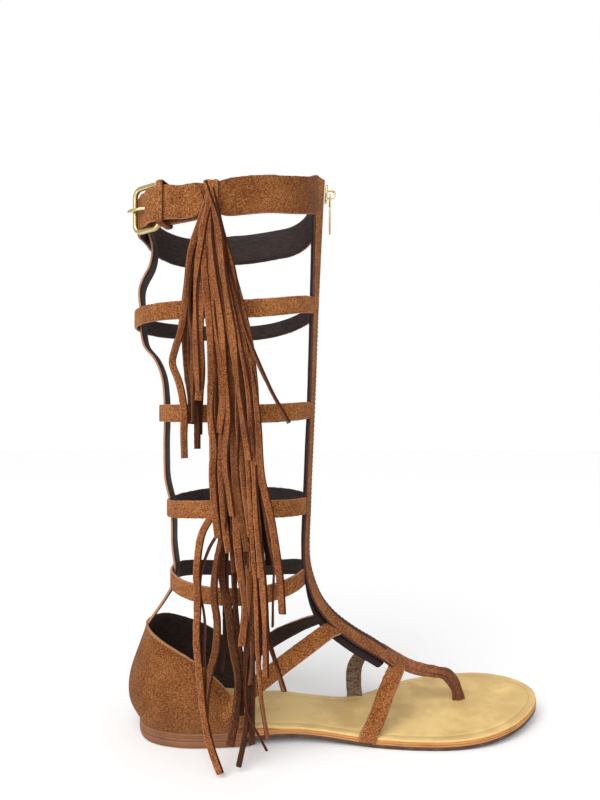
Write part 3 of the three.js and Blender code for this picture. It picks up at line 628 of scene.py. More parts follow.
def stations(path, outward, spacing, first=0, last=None):
    """Evenly spaced places, with their directions, along a path that turns a row into a place."""
    samples = 300
    last = path.rows if last is None else last
    step = (last - first) / samples
    rows = [first + (last - first) * i / samples for i in range(samples + 1)]
    marks = [path(row) for row in rows]
    lengths = [0]
    for a, b in zip(marks, marks[1:]):
        lengths.append(lengths[-1] + (b - a).length)
    count = max(2, round(lengths[-1] / spacing))
    places = []
    index = 0
    for i in range(count + 1):
        target = lengths[-1] * i / count
        while index < samples - 1 and lengths[index + 1] < target:
            index += 1
        span = lengths[index + 1] - lengths[index]
        row = rows[index] + step * (target - lengths[index]) / max(span, 1e-9)
        at = path(row)
        along = (path(row + step) - path(row - step)).normalized()
        out = outward(at)
        out = (out - along * out.dot(along)).normalized()
        places.append(Place(at, along, out, out.cross(along).normalized(), target, row))
    return places


def strap_outline(width, thick, cuts=6):
    """A lined strap's section, as (across, out, rim, finish): its corners are soft and its edges painted."""
    half = width / 2
    t = thick / 2
    corner = min(0.7, half * 0.3)
    face = [(-half + corner) + (width - 2 * corner) * i / cuts for i in range(cuts + 1)]
    rows = [(-half, t - 0.5, 1, 0), (-half + corner * 0.3, t - 0.14, 0.75, 0)]
    rows += [(a, t, 0.35 if a in (face[0], face[-1]) else 0, 0) for a in face]
    rows += [(half - corner * 0.3, t - 0.14, 0.75, 0), (half, t - 0.5, 1, 0), (half, -0.15 * thick, 1, 1)]
    rows += [(half, -t + 0.3, 0, 2), (half - 0.3, -t, 0, 2)]
    rows += [(a, -t, 0, 2) for a in reversed(face[1:-1])]
    rows += [(-half + 0.3, -t, 0, 2), (-half, -t + 0.3, 0, 1), (-half, -0.15 * thick, 1, 0)]
    return rows


def ripple(seed, along, size):
    """A smooth wandering number from about -1 to 1, the same on every run."""
    return 1.6 * noise.noise(Vector((along / size, seed * 3.7, seed * 1.3)))


def read(size, place):
    """A size that is the same all along, or is worked out at each place."""
    return size(place) if callable(size) else size


def strap(
    shell, places, width, thick, seed, outline=strap_outline, ragged=0.16, wavy=0.25, tint=0, closed=False
):
    """Adds a strap to a shell and returns it. width, thick and tint are numbers, or read each place."""
    sections = []
    for place in places:
        rows = outline(read(width, place), read(thick, place))
        section = []
        for across, out, rim, finish in rows:
            side = 1 if across > 0 else -1
            across += side * ragged * min(rim, 1) * ripple(seed + side, place.length, 2.6)
            bow = ripple(seed + 5, place.length, 22) + 0.4 * ripple(seed + 9 + side, place.length, 9)
            out += wavy * bow
            section.append(place.at + place.across * across + place.out * out)
        sections.append(section)
    tints = [read(tint, place) for place in places]
    shell.skin(sections, [row[3] for row in rows], [row[2] for row in rows], tints, closed)
    return shell


stay_path = Path([(x + STAY_BEHIND_RINGS, 0, z) for x, z in STAY])
stay_places = stations(stay_path, lambda at: Vector((-1, 0, 0)), 1.5)
back_stay = strap(Shell(), stay_places, STAY_WIDTH, LEATHER, 1).made("back_stay", UPPER_FINISHES)
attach(back_stay, "sandal")
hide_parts("upper")

# ---- the T-bar
# Two strips of lined suede either side of the zip, from the collar down the shin to the toes.
# They lean back from the ridge like a low tent, and their inner edges are turned and stitched.
T_BAR = [
    (91, 0, 358), (87, 0, 278), (84.5, 0, 212), (81.8, 0, 146), (81.2, 0, 108), (84.2, 0, 94),
    (89.6, 0, 81.5), (98, 1, 71), (111, 2.5, 60.5), (127, 5, 50), (138, 6.5, 41.5),
]
T_BAR_TENT = list(enumerate((36, 20, 16, 16, 18, 21, 23, 24, 24, 23, 20)))
T_BAR_FROM_ROW = 0.04
STRIP_WIDTH = 10
HALF_SLOT = 3.4
ZIP_END_ROW = 9.75
STITCH_INSET = 1.5
TURNED_HIGH = 0.35
TURNED_IN = 1.6
TURNED_WIDE = 1.1
GUARD_END_ROW = 9.5
GUARD_FLARES = (4.6, 7)
GUARD_FROM = 5.2
GUARD_NARROW = 5.4
GUARD_WIDE = 8.4
GUARD_TIP = 30
GUARD_THICK = 1.0
GUARD_ROUND = 0.3
GUARD_BLUNT = 0.05
GUARD_SUNK = 0.15
# Near-black shades: painted shade, for the shadow that falls under the T-bar's strips.
GUARD_DARK = colour(10, 6, 6)
GUARD_BROWN = colour(44, 20, 18)
t_bar_path = Path(T_BAR)


def guard_outline(width, thick):
    """The section of the zip's guard: plain leather all round, painted near-black with the shade under the
    strips.
    """
    return [(across, out, 0, 3) for across, out, rim, finish in strap_outline(width, thick)]


guard_shaded_leather = Finish("guard_shaded_leather", {"Specular IOR Level": 0.3})
guard_grain = guard_shaded_leather.grain(700, 3)
guard_shaded_leather.give("Base Color", guard_shaded_leather.mix(guard_grain, GUARD_DARK, GUARD_BROWN))
guard_shaded_leather.give("Roughness", guard_grain * 0.3 + 0.5)
guard_shaded_leather.relief(guard_grain, 0.0002)


def guard_width(place):
    """How wide a guard is: it widens over the instep, and its lower end is rounded."""
    wide = GUARD_NARROW + (GUARD_WIDE - GUARD_NARROW) * eased_step(place.row, *GUARD_FLARES)
    past = max(0, (place.row - GUARD_END_ROW + GUARD_ROUND) / GUARD_ROUND)
    return wide * math.sqrt(max(GUARD_BLUNT, 1 - past**2))


def shinwards(at):
    return Vector((1, 0, 1))


def leaning(place, side, away, sunk=0.0):
    """The place on a strip of the T-bar, away from the ridge's slot by so much, with its own directions."""
    tent = math.radians(eased(T_BAR_TENT, place.row))
    across = place.across * math.cos(tent) - place.out * math.sin(tent) * side
    out = place.across * math.sin(tent) * side + place.out * math.cos(tent)
    at = place.at + place.across * HALF_SLOT * side + across * side * away - out * (LEATHER / 2 + sunk)
    return place._replace(at=at, across=across, out=out)


def turned_outline(width, thick):
    """The strip's section: its edge beside the zip is turned under, so it is full there."""
    rows = []
    for across, out, rim, finish in strap_outline(width, thick, 8):
        inset = (abs(across) - width / 2 + TURNED_IN) / TURNED_WIDE
        fold = TURNED_HIGH * math.exp(-(inset**2)) if out > 0 else 0
        painted = 1 if abs(across) > width / 2 - 0.1 and finish == 0 and rim == 1.0 else finish
        rows.append((across, out + fold, rim * 0.8, painted))
    return rows


t_bar_places = stations(t_bar_path, shinwards, 1.5, T_BAR_FROM_ROW)
t_bar_shell = Shell()
for side in (1, -1):
    strip_places = [leaning(place, side, STRIP_WIDTH / 2) for place in t_bar_places]
    strap(t_bar_shell, strip_places, STRIP_WIDTH, LEATHER, 10 + side, turned_outline, wavy=0.12)
# Behind each strip a guard stands out over the instep, painted near-black with the shade under the strip.
for side in (1, -1):
    guard_places = []
    for place in t_bar_places:
        if place.row > GUARD_END_ROW:
            continue
        lean = leaning(place, side, GUARD_FROM, LEATHER / 2 + GUARD_SUNK)
        tipped = -math.radians(GUARD_TIP * eased_step(place.row, *GUARD_FLARES)) * side
        turn = Matrix.Rotation(tipped, 3, lean.along)
        across = turn @ lean.across
        middle = lean.at + across * side * guard_width(place) / 2
        guard_places.append(lean._replace(at=middle, across=across, out=turn @ lean.out))
    strap(t_bar_shell, guard_places, guard_width, GUARD_THICK, 16 + side, guard_outline, wavy=0.1)
t_bar = t_bar_shell.made("t_bar", UPPER_FINISHES + [guard_shaded_leather])
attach(t_bar, "sandal")
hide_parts("upper")

# ---- the stitching beside the zip
# A row of brown thread in each strip of the T-bar, which holds the zip's tape behind it.
# Each stitch is a short length of thread that sinks into the suede at both ends.
STITCH_PITCH = 2.9
STITCH_SIZE = (0.55, 0.5, 2.1)
STITCH_STANDS = 0.32
THREAD = colour(126, 72, 38)
THREAD_DARK = colour(88, 48, 27)


def line_object(name, lines):
    """A curve object that holds one straight-sided spline for each line of places."""
    data = bpy.data.curves.new(name, "CURVE")
    data.dimensions = "3D"
    for line in lines:
        spline = data.splines.new("POLY")
        spline.points.add(len(line) - 1)
        for point, at in zip(spline.points, line):
            point.co = (*(at * MM), 1)
    return stand(name, data)


def beading_tree():
    """A tree that sets small rounded shapes along curves: Pitch apart, Size long, in one Finish."""
    group = bpy.data.node_groups.new("shapes_in_a_row", "GeometryNodeTree")
    sockets = {}
    for label, kind in (("Line", "Geometry"), ("Pitch", "Float"), ("Size", "Vector"), ("Finish", "Material")):
        sockets[label] = group.interface.new_socket(label, in_out="INPUT", socket_type="NodeSocket" + kind)
    group.interface.new_socket("Shapes", in_out="OUTPUT", socket_type="NodeSocketGeometry")
    tree = Tree(group)
    given = group.nodes.new("NodeGroupInput")
    line, pitch, size, finish = [Value(tree, given.outputs[label]) for label in sockets]
    places = tree.node("GeometryNodeCurveToPoints", {"mode": "LENGTH"}, {"Curve": line, "Length": pitch})
    tangent = Value(tree, places.socket.node.outputs["Tangent"])
    turned = tree.node("FunctionNodeAlignRotationToVector", {"axis": "Z"}, {"Vector": tangent})
    bead = tree.node("GeometryNodeMeshUVSphere", {}, {"Segments": 8, "Rings": 6, "Radius": 0.5})
    smooth = tree.node("GeometryNodeSetShadeSmooth", {}, {0: bead})
    values = {"Points": places, "Instance": smooth, "Rotation": turned, "Scale": size}
    placed = tree.node("GeometryNodeInstanceOnPoints", {}, values)
    real = tree.node("GeometryNodeRealizeInstances", {}, {0: placed})
    painted = tree.node("GeometryNodeSetMaterial", {}, {"Geometry": real, "Material": finish})
    result = group.nodes.new("NodeGroupOutput")
    group.links.new(painted.socket, result.inputs[0])
    return group, {label: socket.identifier for label, socket in sockets.items()}


shapes_in_a_row, row_inputs = beading_tree()


def shapes_along(name, lines, pitch, size, finish):
    """Turns lines of places into one plain mesh of small shapes."""
    line = line_object(name + "_line", lines)
    modifier = line.modifiers.new("row", "NODES")
    modifier.node_group = shapes_in_a_row
    modifier[row_inputs["Pitch"]] = pitch * MM
    modifier[row_inputs["Size"]] = tuple(value * MM for value in size)
    modifier[row_inputs["Finish"]] = finish.material
    bpy.context.view_layer.update()
    graph = bpy.context.evaluated_depsgraph_get()
    mesh = bpy.data.meshes.new_from_object(line.evaluated_get(graph))
    line.modifiers.remove(modifier)
    bpy.data.objects.remove(line)
    mesh.name = name
    return stand(name, mesh)


thread = Finish("thread", {"Roughness": 0.7})
thread.give("Base Color", thread.mix(thread.grain(900, 2), THREAD_DARK, THREAD))

stitch_lines = []
for side in (1, -1):
    rows = [leaning(place, side, STITCH_INSET) for place in t_bar_places if place.row < ZIP_END_ROW]
    stitch_lines.append([place.at + place.out * (LEATHER / 2 + STITCH_STANDS) for place in rows[2:]])
zip_stitching = shapes_along("zip_stitching", stitch_lines, STITCH_PITCH, STITCH_SIZE, thread)
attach(zip_stitching, "sandal")

# ---- the rings and the collar
# Four narrow straps of lined suede ring the leg from the T-bar round behind it and back again.
# The broad collar at the top is cut from the same suede, and the buckled strap end lies on it.
Ring = namedtuple("Ring", "name front side back width ahead behind half square")
STRAP_WIDTH = 10.5
RINGS = [
    Ring("collar", 346.6, 326, 325, 21.5, 85.8, -27, 50, 2.9),
    Ring("calf_ring", 272, 262.5, 262, STRAP_WIDTH, 83.9, -31, 46, 2.3),
    Ring("shin_ring", 205, 202, 203, STRAP_WIDTH, 81.6, -15.3, 43, 2.3),
    Ring("lower_ring", 144, 145.5, 142.5, STRAP_WIDTH, 79, -10.6, 39, 2.3),
    Ring("ankle_ring", 99, 92.6, 98, STRAP_WIDTH, 78.3, -9, 35, 2.3),
]
COLLAR_RISE = [
    (0, 346.6), (6, 343.6), (24, 336), (35, 333), (53, 329.9), (72, 328.2), (86, 326.2), (95, 324.2),
    (104, 322.4), (120, 321.4), (140, 322), (180, 325),
]
PINCH_AT = 24.5
PINCH_REACH = 6
PINCH = 4
COLLAR = RINGS[0]
RING_START = 9
CUT_RAGGED = 0.2


def squared(value, power):
    """A sine or cosine raised to a power and still signed, which squares up a round or sharpens it."""
    return math.copysign(abs(value) ** power, value)


def ring_point(ring, angle):
    """The middle of a ring. The angle is 0 at the shin and grows round the outer side."""
    c = math.cos(angle)
    reach = (ring.ahead - ring.behind) / 2
    x = (ring.ahead + ring.behind) / 2 + reach * squared(c, 2 / ring.square)
    y = -ring.half * squared(math.sin(angle), 2 / ring.square)
    if ring is COLLAR:
        return Vector((x, y, eased(COLLAR_RISE, math.degrees(math.acos(min(max(c, -1), 1))))))
    end = ring.front if c > 0 else ring.back
    return Vector((x, y, ring.side + (end - ring.side) * c * c))


def ring_angle(ring, test, low, high):
    """The angle between low and high at which a test of the ring's point turns true."""
    for _ in range(40):
        middle = (low + high) / 2
        if test(ring_point(ring, middle)):
            high = middle
        else:
            low = middle
    return low


def out_from(ring):
    centre = (ring.ahead + ring.behind) / 2
    return lambda at: Vector((at.x - centre, at.y, 0))


def ring_width(ring, place):
    """A ring's width. The collar is pinched where the tassel's loop is drawn tight round it."""
    if ring is COLLAR and place.at.y < 0:
        return ring.width - PINCH * math.exp(-(((place.at.x - PINCH_AT) / PINCH_REACH) ** 2))
    return ring.width


for seed, ring in enumerate(RINGS):
    start = ring_angle(ring, lambda point: point.y < -RING_START, 0, math.pi / 2)
    line = lambda angle: ring_point(ring, angle)
    places = stations(line, out_from(ring), 1.5, start, 2 * math.pi - start)
    wide = lambda place: ring_width(ring, place)
    tint = PANEL_TINT if ring is COLLAR else 0
    ring_shell = strap(Shell(), places, wide, LEATHER, 20 + 4 * seed, ragged=CUT_RAGGED, tint=tint)
    ring_piece = ring_shell.made(ring.name, UPPER_FINISHES)
    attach(ring_piece, "sandal")
    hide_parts("upper")

# ---- the instep straps
# On each side a strap runs from under the T-bar down to the front of the counter.
# It is lined like the rings and is sewn inside the counter's front corner.
INSTEP = [
    (97.5, 9.6, 65), (93.5, 13, 65), (83, 19.5, 60), (64, 28, 49), (48, 31.6, 38), (34, 32.2, 27),
    (26, 32.2, 21),
]
INSTEP_TURNS = (60, 75)
INSTEP_UP = (2, 14)


def instep_out(at):
    """Out to the side behind the ankle, and turned up where the strap climbs over the instep."""
    turned = min(max((at.x - INSTEP_TURNS[0]) / (INSTEP_TURNS[1] - INSTEP_TURNS[0]), 0), 1)
    return Vector((0, at.y, INSTEP_UP[0] + (INSTEP_UP[1] - INSTEP_UP[0]) * turned))


for name, side in (("instep_strap_inner", 1), ("instep_strap_outer", -1)):
    places = stations(Path([(x, y * side, z) for x, y, z in INSTEP]), instep_out, 1.5)
    instep_shell = strap(Shell(), places, STRAP_WIDTH, LEATHER, 50 + side, ragged=CUT_RAGGED)
    instep_piece = instep_shell.made(name, UPPER_FINISHES)
    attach(instep_piece, "sandal")
    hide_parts("upper")

# ---- the toe strap
# One strap crosses the foot behind the toes, from the outer edge of the sole, under the T-bar,
# to the inner edge. Both ends are let into the sole, and the inner leg's lining is creased.
TOE_STRAP = [
    (115, -30.8, 3.3), (115.6, -30.9, 6), (118, -30, 10.5), (122, -27, 17), (128, -20, 28),
    (133.5, -13, 35.5), (137.5, -4, 38.2), (138, 9, 39), (130.5, 18, 39.5), (119, 22.6, 36), (113, 24, 27),
    (112, 24, 15), (112.6, 23.4, 7), (112.8, 23.4, 3.3),
]
toe_places = stations(Path(TOE_STRAP), lambda at: Vector((0, at.y + 1, at.z * 0.6)), 1.2)
toe_shell = strap(Shell(), toe_places, STRAP_WIDTH, LEATHER, 60, ragged=CUT_RAGGED)
toe_strap = toe_shell.made("toe_strap", UPPER_FINISHES)
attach(toe_strap, "sandal")
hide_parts("upper")

# ---- the thong
# The T-bar's leather runs on past the zip, is folded, rolled and twisted to a cord,
# and enters the insole through a slit between the big toe and the next.
THONG = [
    (133, 5.8, 44.2), (140, 7, 39.2), (148, 8.6, 34.2), (157, 10.4, 30.4), (167, 12.4, 27.8), (175, 14, 25),
    (180.6, 15, 18), (183.2, 15.4, 10), (183.5, 15.4, 6.6),
]
THONG_WIDTH = list(enumerate((25, 18, 12, 8.6, 7.6, 8.4, 8.6, 8, 8)))
THONG_THICK = [(0, 2.2), (1, 2.8), (2, 3.4), (3, 3.8), (4, 3.8), (5, 3.8), (6, 3.6), (8, 3.6)]
THONG_TWIST = list(enumerate((0, 8, 22, 38, 50, 62, 74, 84, 88)))
THONG_LIGHT = colour(170, 114, 76)
THONG_BROWN = colour(128, 78, 50)
THONG_DARK = colour(70, 40, 26)
THONG_FOLDS = [(-0.24, 1.5), (0.27, 1.2), (0.02, 0.7)]
THONG_LUMPS = 1.2
THONG_FOLDS_FROM = (8, 18)
THONG_DARKENS = (22, 52)
THONG_TINT = 0.5
FOLD_DEPTH = 0.8
FOLD_WIDTH = 0.06

worn_suede = suede_finish("worn_suede", THONG_LIGHT, THONG_BROWN, THONG_BROWN, THONG_DARK, RAW_EDGE, 500)


def oval(width, thick, points, power):
    """Places round an oval that is squared up by a power, as (across, out)."""
    turns = [2 * math.pi * i / points for i in range(points)]
    return [(width / 2 * squared(math.cos(t), power), thick / 2 * squared(math.sin(t), power)) for t in turns]


def rolled_outline(width, thick):
    """The thong's section: a soft roll with long folds down its face."""
    rows = []
    for across, out in oval(-width, thick, 28, 0.8):
        sunk = LEATHER / 2
        if out > 0.1:
            for where, depth in THONG_FOLDS:
                sunk += depth * FOLD_DEPTH * math.exp(-(((across / width - where) / FOLD_WIDTH) ** 2))
        rows.append((across, out - sunk, 0, 0))
    return rows


def thong_width(place):
    """The leather is bunched unevenly, but lies smooth where it is under the toe strap."""
    lumps = THONG_LUMPS * eased_step(place.length, *THONG_FOLDS_FROM) * ripple(71, place.length, 7)
    return eased(THONG_WIDTH, place.row) + lumps


def thong_thick(place):
    return eased(THONG_THICK, place.row)


def thong_tint(place):
    return THONG_TINT * eased_step(place.length, *THONG_DARKENS)


thong_places = []
for place in stations(Path(THONG), shinwards, 1):
    twist = Matrix.Rotation(math.radians(eased(THONG_TWIST, place.row)), 3, place.across.cross(place.out))
    thong_places.append(place._replace(across=twist @ place.across, out=twist @ place.out))
thong_shell = strap(
    Shell(), thong_places, thong_width, thong_thick, 70, rolled_outline, wavy=0.3, tint=thong_tint
)
thong = thong_shell.made("thong", [worn_suede])
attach(thong, "sandal")
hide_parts("upper")

# ---- the zip's tape and coil
# A brown woven tape behind the T-bar's slot, with a fine nylon coil down each half of it.
# The coils lock together up the middle, so only a ribbed ridge shows between the strips.
TAPE_THICK = 0.8
TAPE_WING = 4.5
TAPE_SUNK = 0.35
COIL_PITCH = 1.25
COIL_SIZE = (1.5, 2.7, 0.95)
COIL_APART = 1.05
COIL_SUNK = 1.7
TAPE_BROWN = colour(104, 62, 38)
TAPE_DARK = colour(70, 42, 28)
COIL_BROWN = colour(148, 92, 56)
COIL_LIGHT = colour(176, 118, 78)

zip_tape_finish = Finish("zip_tape", {"Roughness": 0.85})
tape_weave = zip_tape_finish.grain(1, 1, zip_tape_finish.stretched(1400, 1400, 2600))
zip_tape_finish.give("Base Color", zip_tape_finish.mix(tape_weave, TAPE_DARK, TAPE_BROWN))
zip_tape_finish.relief(tape_weave, 0.0002)
coil_finish = Finish("zip_coil", {"Roughness": 0.4, "Specular IOR Level": 0.5})
coil_finish.give("Base Color", coil_finish.mix(coil_finish.grain(500, 2), COIL_BROWN, COIL_LIGHT))

zip_places = [place for place in t_bar_places if place.row < ZIP_END_ROW][2:]
tape_sections = []
for place in zip_places:
    wings = []
    for side in (1, -1):
        spot = leaning(place, side, 0, TAPE_SUNK + LEATHER / 2)
        edge = [spot.at + spot.across * side * TAPE_WING, spot.at]
        wings.append(edge + [point - spot.out * TAPE_THICK for point in reversed(edge)])
    front = [wings[0][0], wings[0][1], wings[1][1], wings[1][0]]
    rear = [wings[1][3], wings[1][2], wings[0][2], wings[0][3]]
    tape_sections.append(front + rear)
tape_shell = Shell()
tape_shell.skin(tape_sections, [0] * 8, [0] * 8)
zip_tape = tape_shell.made("zip_tape", [zip_tape_finish])
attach(zip_tape, "sandal")
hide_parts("zip_tape")

coil_lines = []
for side in (1, -1):
    line = [place.at + place.across * COIL_APART * side - place.out * COIL_SUNK for place in zip_places]
    shift = (line[1] - line[0]).normalized() * COIL_PITCH / 4 * side
    coil_lines.append([point + shift for point in line])
zip_coil = shapes_along("zip_coil", coil_lines, COIL_PITCH, COIL_SIZE, coil_finish)
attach(zip_coil, "sandal")

# ---- the buckle
# A cast frame with rounded corners and a thin prong, plated pale gold.
# The frame is held by the collar's rear end; the prong pokes up through the strap end.
BUCKLE_X = -13.4
BUCKLE_LENGTH = 22
BUCKLE_HEIGHT = 28
BUCKLE_CORNER = 6
BUCKLE_BAR = 2.6
BUCKLE_TILT = math.radians(5.9)
PRONG_RADIUS = 0.9
PRONG_LINE = [(-12.6, 5.4), (-9, 5.4), (-4, 4.4), (0, 2.8), (4, 1.5), (8, 1.1)]
PRONG_POINT = 0.72
PRONG_SPREADS = 0.08
GOLD = colour(226, 208, 152)
GOLD_DULL = colour(196, 172, 112)

plating = Finish("pale_gold", {"Metallic": 1.0})
plating_wear = plating.grain(260, 4)
plating.give("Base Color", plating.shades(plating_wear, [(0.4, GOLD), (0.75, GOLD_DULL)]))
plating.give("Roughness", plating.between(plating_wear, 0.3, 0.8) * 0.2 + 0.2)
plating.relief(plating.grain(1200, 2), 0.00002)

Mount = namedtuple("Mount", "at forward up out")


def collar_mount(x):
    """The collar's middle on its outer side at a given x: forward, up and out from the wall."""
    angle = ring_angle(COLLAR, lambda point: point.x < x, 0.3, math.pi)
    forward = ring_point(COLLAR, angle - 0.01) - ring_point(COLLAR, angle + 0.01)
    forward = Vector((forward.x, forward.y, 0)).normalized()
    return Mount(ring_point(COLLAR, angle), forward, Vector((0, 0, 1)), Vector((forward.y, -forward.x, 0)))


def round_corners(width, height, corner, cuts):
    """The places round a rectangle's rounded corners, each with its way out from the corner."""
    marks = []
    for quarter, (x, y) in enumerate(CORNERS):
        centre = Vector((x * (width / 2 - corner), y * (height / 2 - corner)))
        for i in range(cuts + 1):
            turn = math.radians(90 * quarter - 90 + 90 * i / cuts)
            way = Vector((math.cos(turn), math.sin(turn)))
            marks.append((centre + way * corner, way))
    return marks


def frame_places(middle, right, up, width, height, corner, spacing=0.7):
    """Closed stations round a rectangle with rounded corners. out points away from its middle."""
    normal = right.cross(up)
    marks = round_corners(width, height, corner, 12)
    places = []
    length = 0
    for (a, way), (b, next_way) in zip(marks, marks[1:] + marks[:1]):
        steps = max(1, round((b - a).length / spacing))
        for i in range(steps):
            spot = a.lerp(b, i / steps)
            facing = way.lerp(next_way, i / steps).normalized()
            at = middle + right * spot.x + up * spot.y
            out = right * facing.x + up * facing.y
            places.append(Place(at, normal.cross(out), out, normal, length + (b - a).length * i / steps, 0))
        length += (b - a).length
    return places


def round_outline(width, thick):
    return [(across, out, 0, 0) for across, out in oval(width, thick, 16, 0.75)]


def cast_bar(places, width, thick, closed=False):
    """A smooth metal bar along places."""
    return strap(Shell(), places, width, thick, 0, round_outline, ragged=0, wavy=0, closed=closed)


def prong_size(place):
    """How thick the prong is: it comes to a blunt point."""
    return 2 * PRONG_RADIUS * min(1, PRONG_POINT + place.length * PRONG_SPREADS)


mount = collar_mount(BUCKLE_X)
tilt = Matrix.Rotation(BUCKLE_TILT, 3, mount.up)
buckle_right = tilt @ mount.forward
buckle_out = tilt @ mount.out
buckle_middle = mount.at + mount.out * (LEATHER / 2 + GAP) + buckle_out * BUCKLE_BAR / 2
buckle_places = frame_places(
    buckle_middle, buckle_right, mount.up, BUCKLE_LENGTH - BUCKLE_BAR, BUCKLE_HEIGHT - BUCKLE_BAR,
    BUCKLE_CORNER - BUCKLE_BAR / 2,
)
buckle_shell = cast_bar(buckle_places, BUCKLE_BAR, BUCKLE_BAR, closed=True)
buckle_frame = buckle_shell.made("buckle_frame", [plating])
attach(buckle_frame, "sandal")
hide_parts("buckle_frame")

prong_origin = mount.at + mount.out * LEATHER / 2
prong_path = Path([prong_origin + mount.forward * x + mount.out * z for x, z in PRONG_LINE])
prong_places = stations(prong_path, lambda at: mount.up, 0.7)
buckle_prong = cast_bar(prong_places, prong_size, prong_size).made("buckle_prong", [plating])
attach(buckle_prong, "sandal")
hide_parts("buckle_prong")

# ---- the collar's strap end
# The collar's free end: it comes forward through the buckle, humps over the front bar
# and lies flat on the collar, with a rounded tip.
STRAP_END_BACK = -17.6
STRAP_END_TIP = 19.5
STRAP_END_WIDTH = 19.5
STRAP_END_ROUND = 8
STRAP_END_BLUNT = 0.03
STRAP_END_LIFT = 3.7
LIFT_RISES = (-16, -8)
LIFT_FALLS = (0, 8)


def strap_end_standoff(x):
    low = LEATHER + GAP
    return low + STRAP_END_LIFT * (eased_step(x, *LIFT_RISES) - eased_step(x, *LIFT_FALLS))


def on_collar(angle):
    at = ring_point(COLLAR, angle)
    ahead = ring_point(COLLAR, angle + 1e-3) - ring_point(COLLAR, angle - 1e-3)
    return at + Vector((-ahead.y, ahead.x, 0)).normalized() * strap_end_standoff(at.x)


def strap_end_width(place):
    past = max(0, place.at.x - (STRAP_END_TIP - STRAP_END_ROUND)) / STRAP_END_ROUND
    return STRAP_END_WIDTH * math.sqrt(max(STRAP_END_BLUNT, 1 - past**2.4))


tip_angle = ring_angle(COLLAR, lambda point: point.x < STRAP_END_TIP, 0.3, math.pi)
back_angle = ring_angle(COLLAR, lambda point: point.x < STRAP_END_BACK, 0.3, math.pi)
strap_end_places = stations(on_collar, out_from(COLLAR), 0.8, tip_angle, back_angle)
strap_end_shell = strap(
    Shell(), strap_end_places, strap_end_width, LEATHER, 80, ragged=CUT_RAGGED, wavy=0.2
)
strap_end = strap_end_shell.made("collar_strap_end", UPPER_FINISHES)
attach(strap_end, "sandal")
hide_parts("collar_strap_end")

# ---- the keeper and the tassel's loop
# Two bands of single suede round the collar. The narrow keeper holds the strap end down,
# and the wider loop in front of its tip carries the tassel.
BAND_THICK = 1.2
KEEPER_X = -2.2
KEEPER_WIDTH = 4.4
KEEPER_SLACK = 0.5
TASSEL_LOOP_X = 24.5
TASSEL_LOOP_WIDTH = 7.5
BAND_CLEAR = 0.1
BAND_CORNER = 0.9


def collar_band(x, width, slack, layers_out, seed, pinch=0):
    """A band round the collar and whatever lies on it there."""
    mount = collar_mount(x)
    inside = LEATHER / 2 + GAP + slack + BAND_THICK / 2
    outside = layers_out + inside
    height = COLLAR.width - pinch + 2 * (GAP + BAND_CLEAR * (pinch == 0)) + BAND_THICK
    middle = mount.at + mount.out * (outside - inside) / 2
    places = frame_places(middle, mount.out, mount.up, inside + outside, height, BAND_CORNER, 1)
    return strap(Shell(), places, width, BAND_THICK, seed, turned_outline, ragged=0.15, wavy=0.1, closed=True)


keeper_shell = collar_band(KEEPER_X, KEEPER_WIDTH, KEEPER_SLACK, strap_end_standoff(KEEPER_X), 90)
keeper_loop = keeper_shell.made("keeper_loop", UPPER_FINISHES)
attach(keeper_loop, "sandal")
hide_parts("keeper_loop")

tassel_loop_shell = collar_band(TASSEL_LOOP_X, TASSEL_LOOP_WIDTH, 0, 0, 94, PINCH)
tassel_loop = tassel_loop_shell.made("tassel_loop", UPPER_FINISHES)
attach(tassel_loop, "sandal")
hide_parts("tassel_loop")

# ---- the zip's slider
# A small cast slider, plated like the buckle, near the top of the T-bar.
# A bridge stands along its front face, and the pull tab hangs from it.
SLIDER_Z = 347
SLIDER_WIDTH = 8.6
SLIDER_HEIGHT = 11
SLIDER_CORNER = 2.4
SLIDER_PLATE = 1.6
SLIDER_STANDOFF = 0.5
BRIDGE_LENGTH = 5.8
BRIDGE_RISE = 3.5
BRIDGE_BAR = 1.2
BRIDGE_WIDTH = 2
SLIDER_BEVEL = 0.45
SHARP_CASTING = math.radians(40)


def ridge_mount(z):
    """A frame on the T-bar's ridge: forward is across it, up runs up it, out leaves its face."""
    rows = [i / 200 for i in range(201)]
    row = min(rows, key=lambda value: abs(t_bar_path(value).z - z))
    up = (t_bar_path(row) - t_bar_path(row + 0.01)).normalized()
    out = shinwards(None)
    out = (out - up * out.dot(up)).normalized()
    return Mount(t_bar_path(row), up.cross(out), up, out)


def bevelled_plate(width, height, corner, thick, bevel, place_at, right, up):
    """A plate with rounded corners and soft edges, as a bmesh in metres. Its back is at place_at."""
    plate = bmesh.new()
    marks = round_corners(width, height, corner, 6)
    outline = [plate.verts.new((place_at + right * spot.x + up * spot.y) * MM) for spot, way in marks]
    face = plate.faces.new(outline)
    raised = bmesh.ops.extrude_face_region(plate, geom=[face])["geom"]
    moved = [item for item in raised if isinstance(item, bmesh.types.BMVert)]
    bmesh.ops.translate(plate, verts=moved, vec=right.cross(up) * thick * MM)
    ends = [edge for edge in plate.edges if edge.calc_face_angle(0) > 1]
    bmesh.ops.bevel(plate, geom=ends, offset=bevel * MM, segments=3, profile=0.5, affect="EDGES")
    bmesh.ops.recalc_face_normals(plate, faces=plate.faces)
    return plate


def joined_mesh(name, base, plate, finish):
    """One object made of a shell's object, which is removed, and a plate."""
    whole = bmesh.new()
    whole.from_mesh(base.data)
    part = bpy.data.meshes.new("part")
    plate.to_mesh(part)
    plate.free()
    whole.from_mesh(part)
    bpy.data.meshes.remove(part)
    bpy.data.objects.remove(base)
    mesh = bpy.data.meshes.new(name)
    whole.to_mesh(mesh)
    whole.free()
    mesh.materials.append(finish.material)
    mesh.shade_smooth()
    mesh.set_sharp_from_angle(angle=SHARP_CASTING)
    return stand(name, mesh)


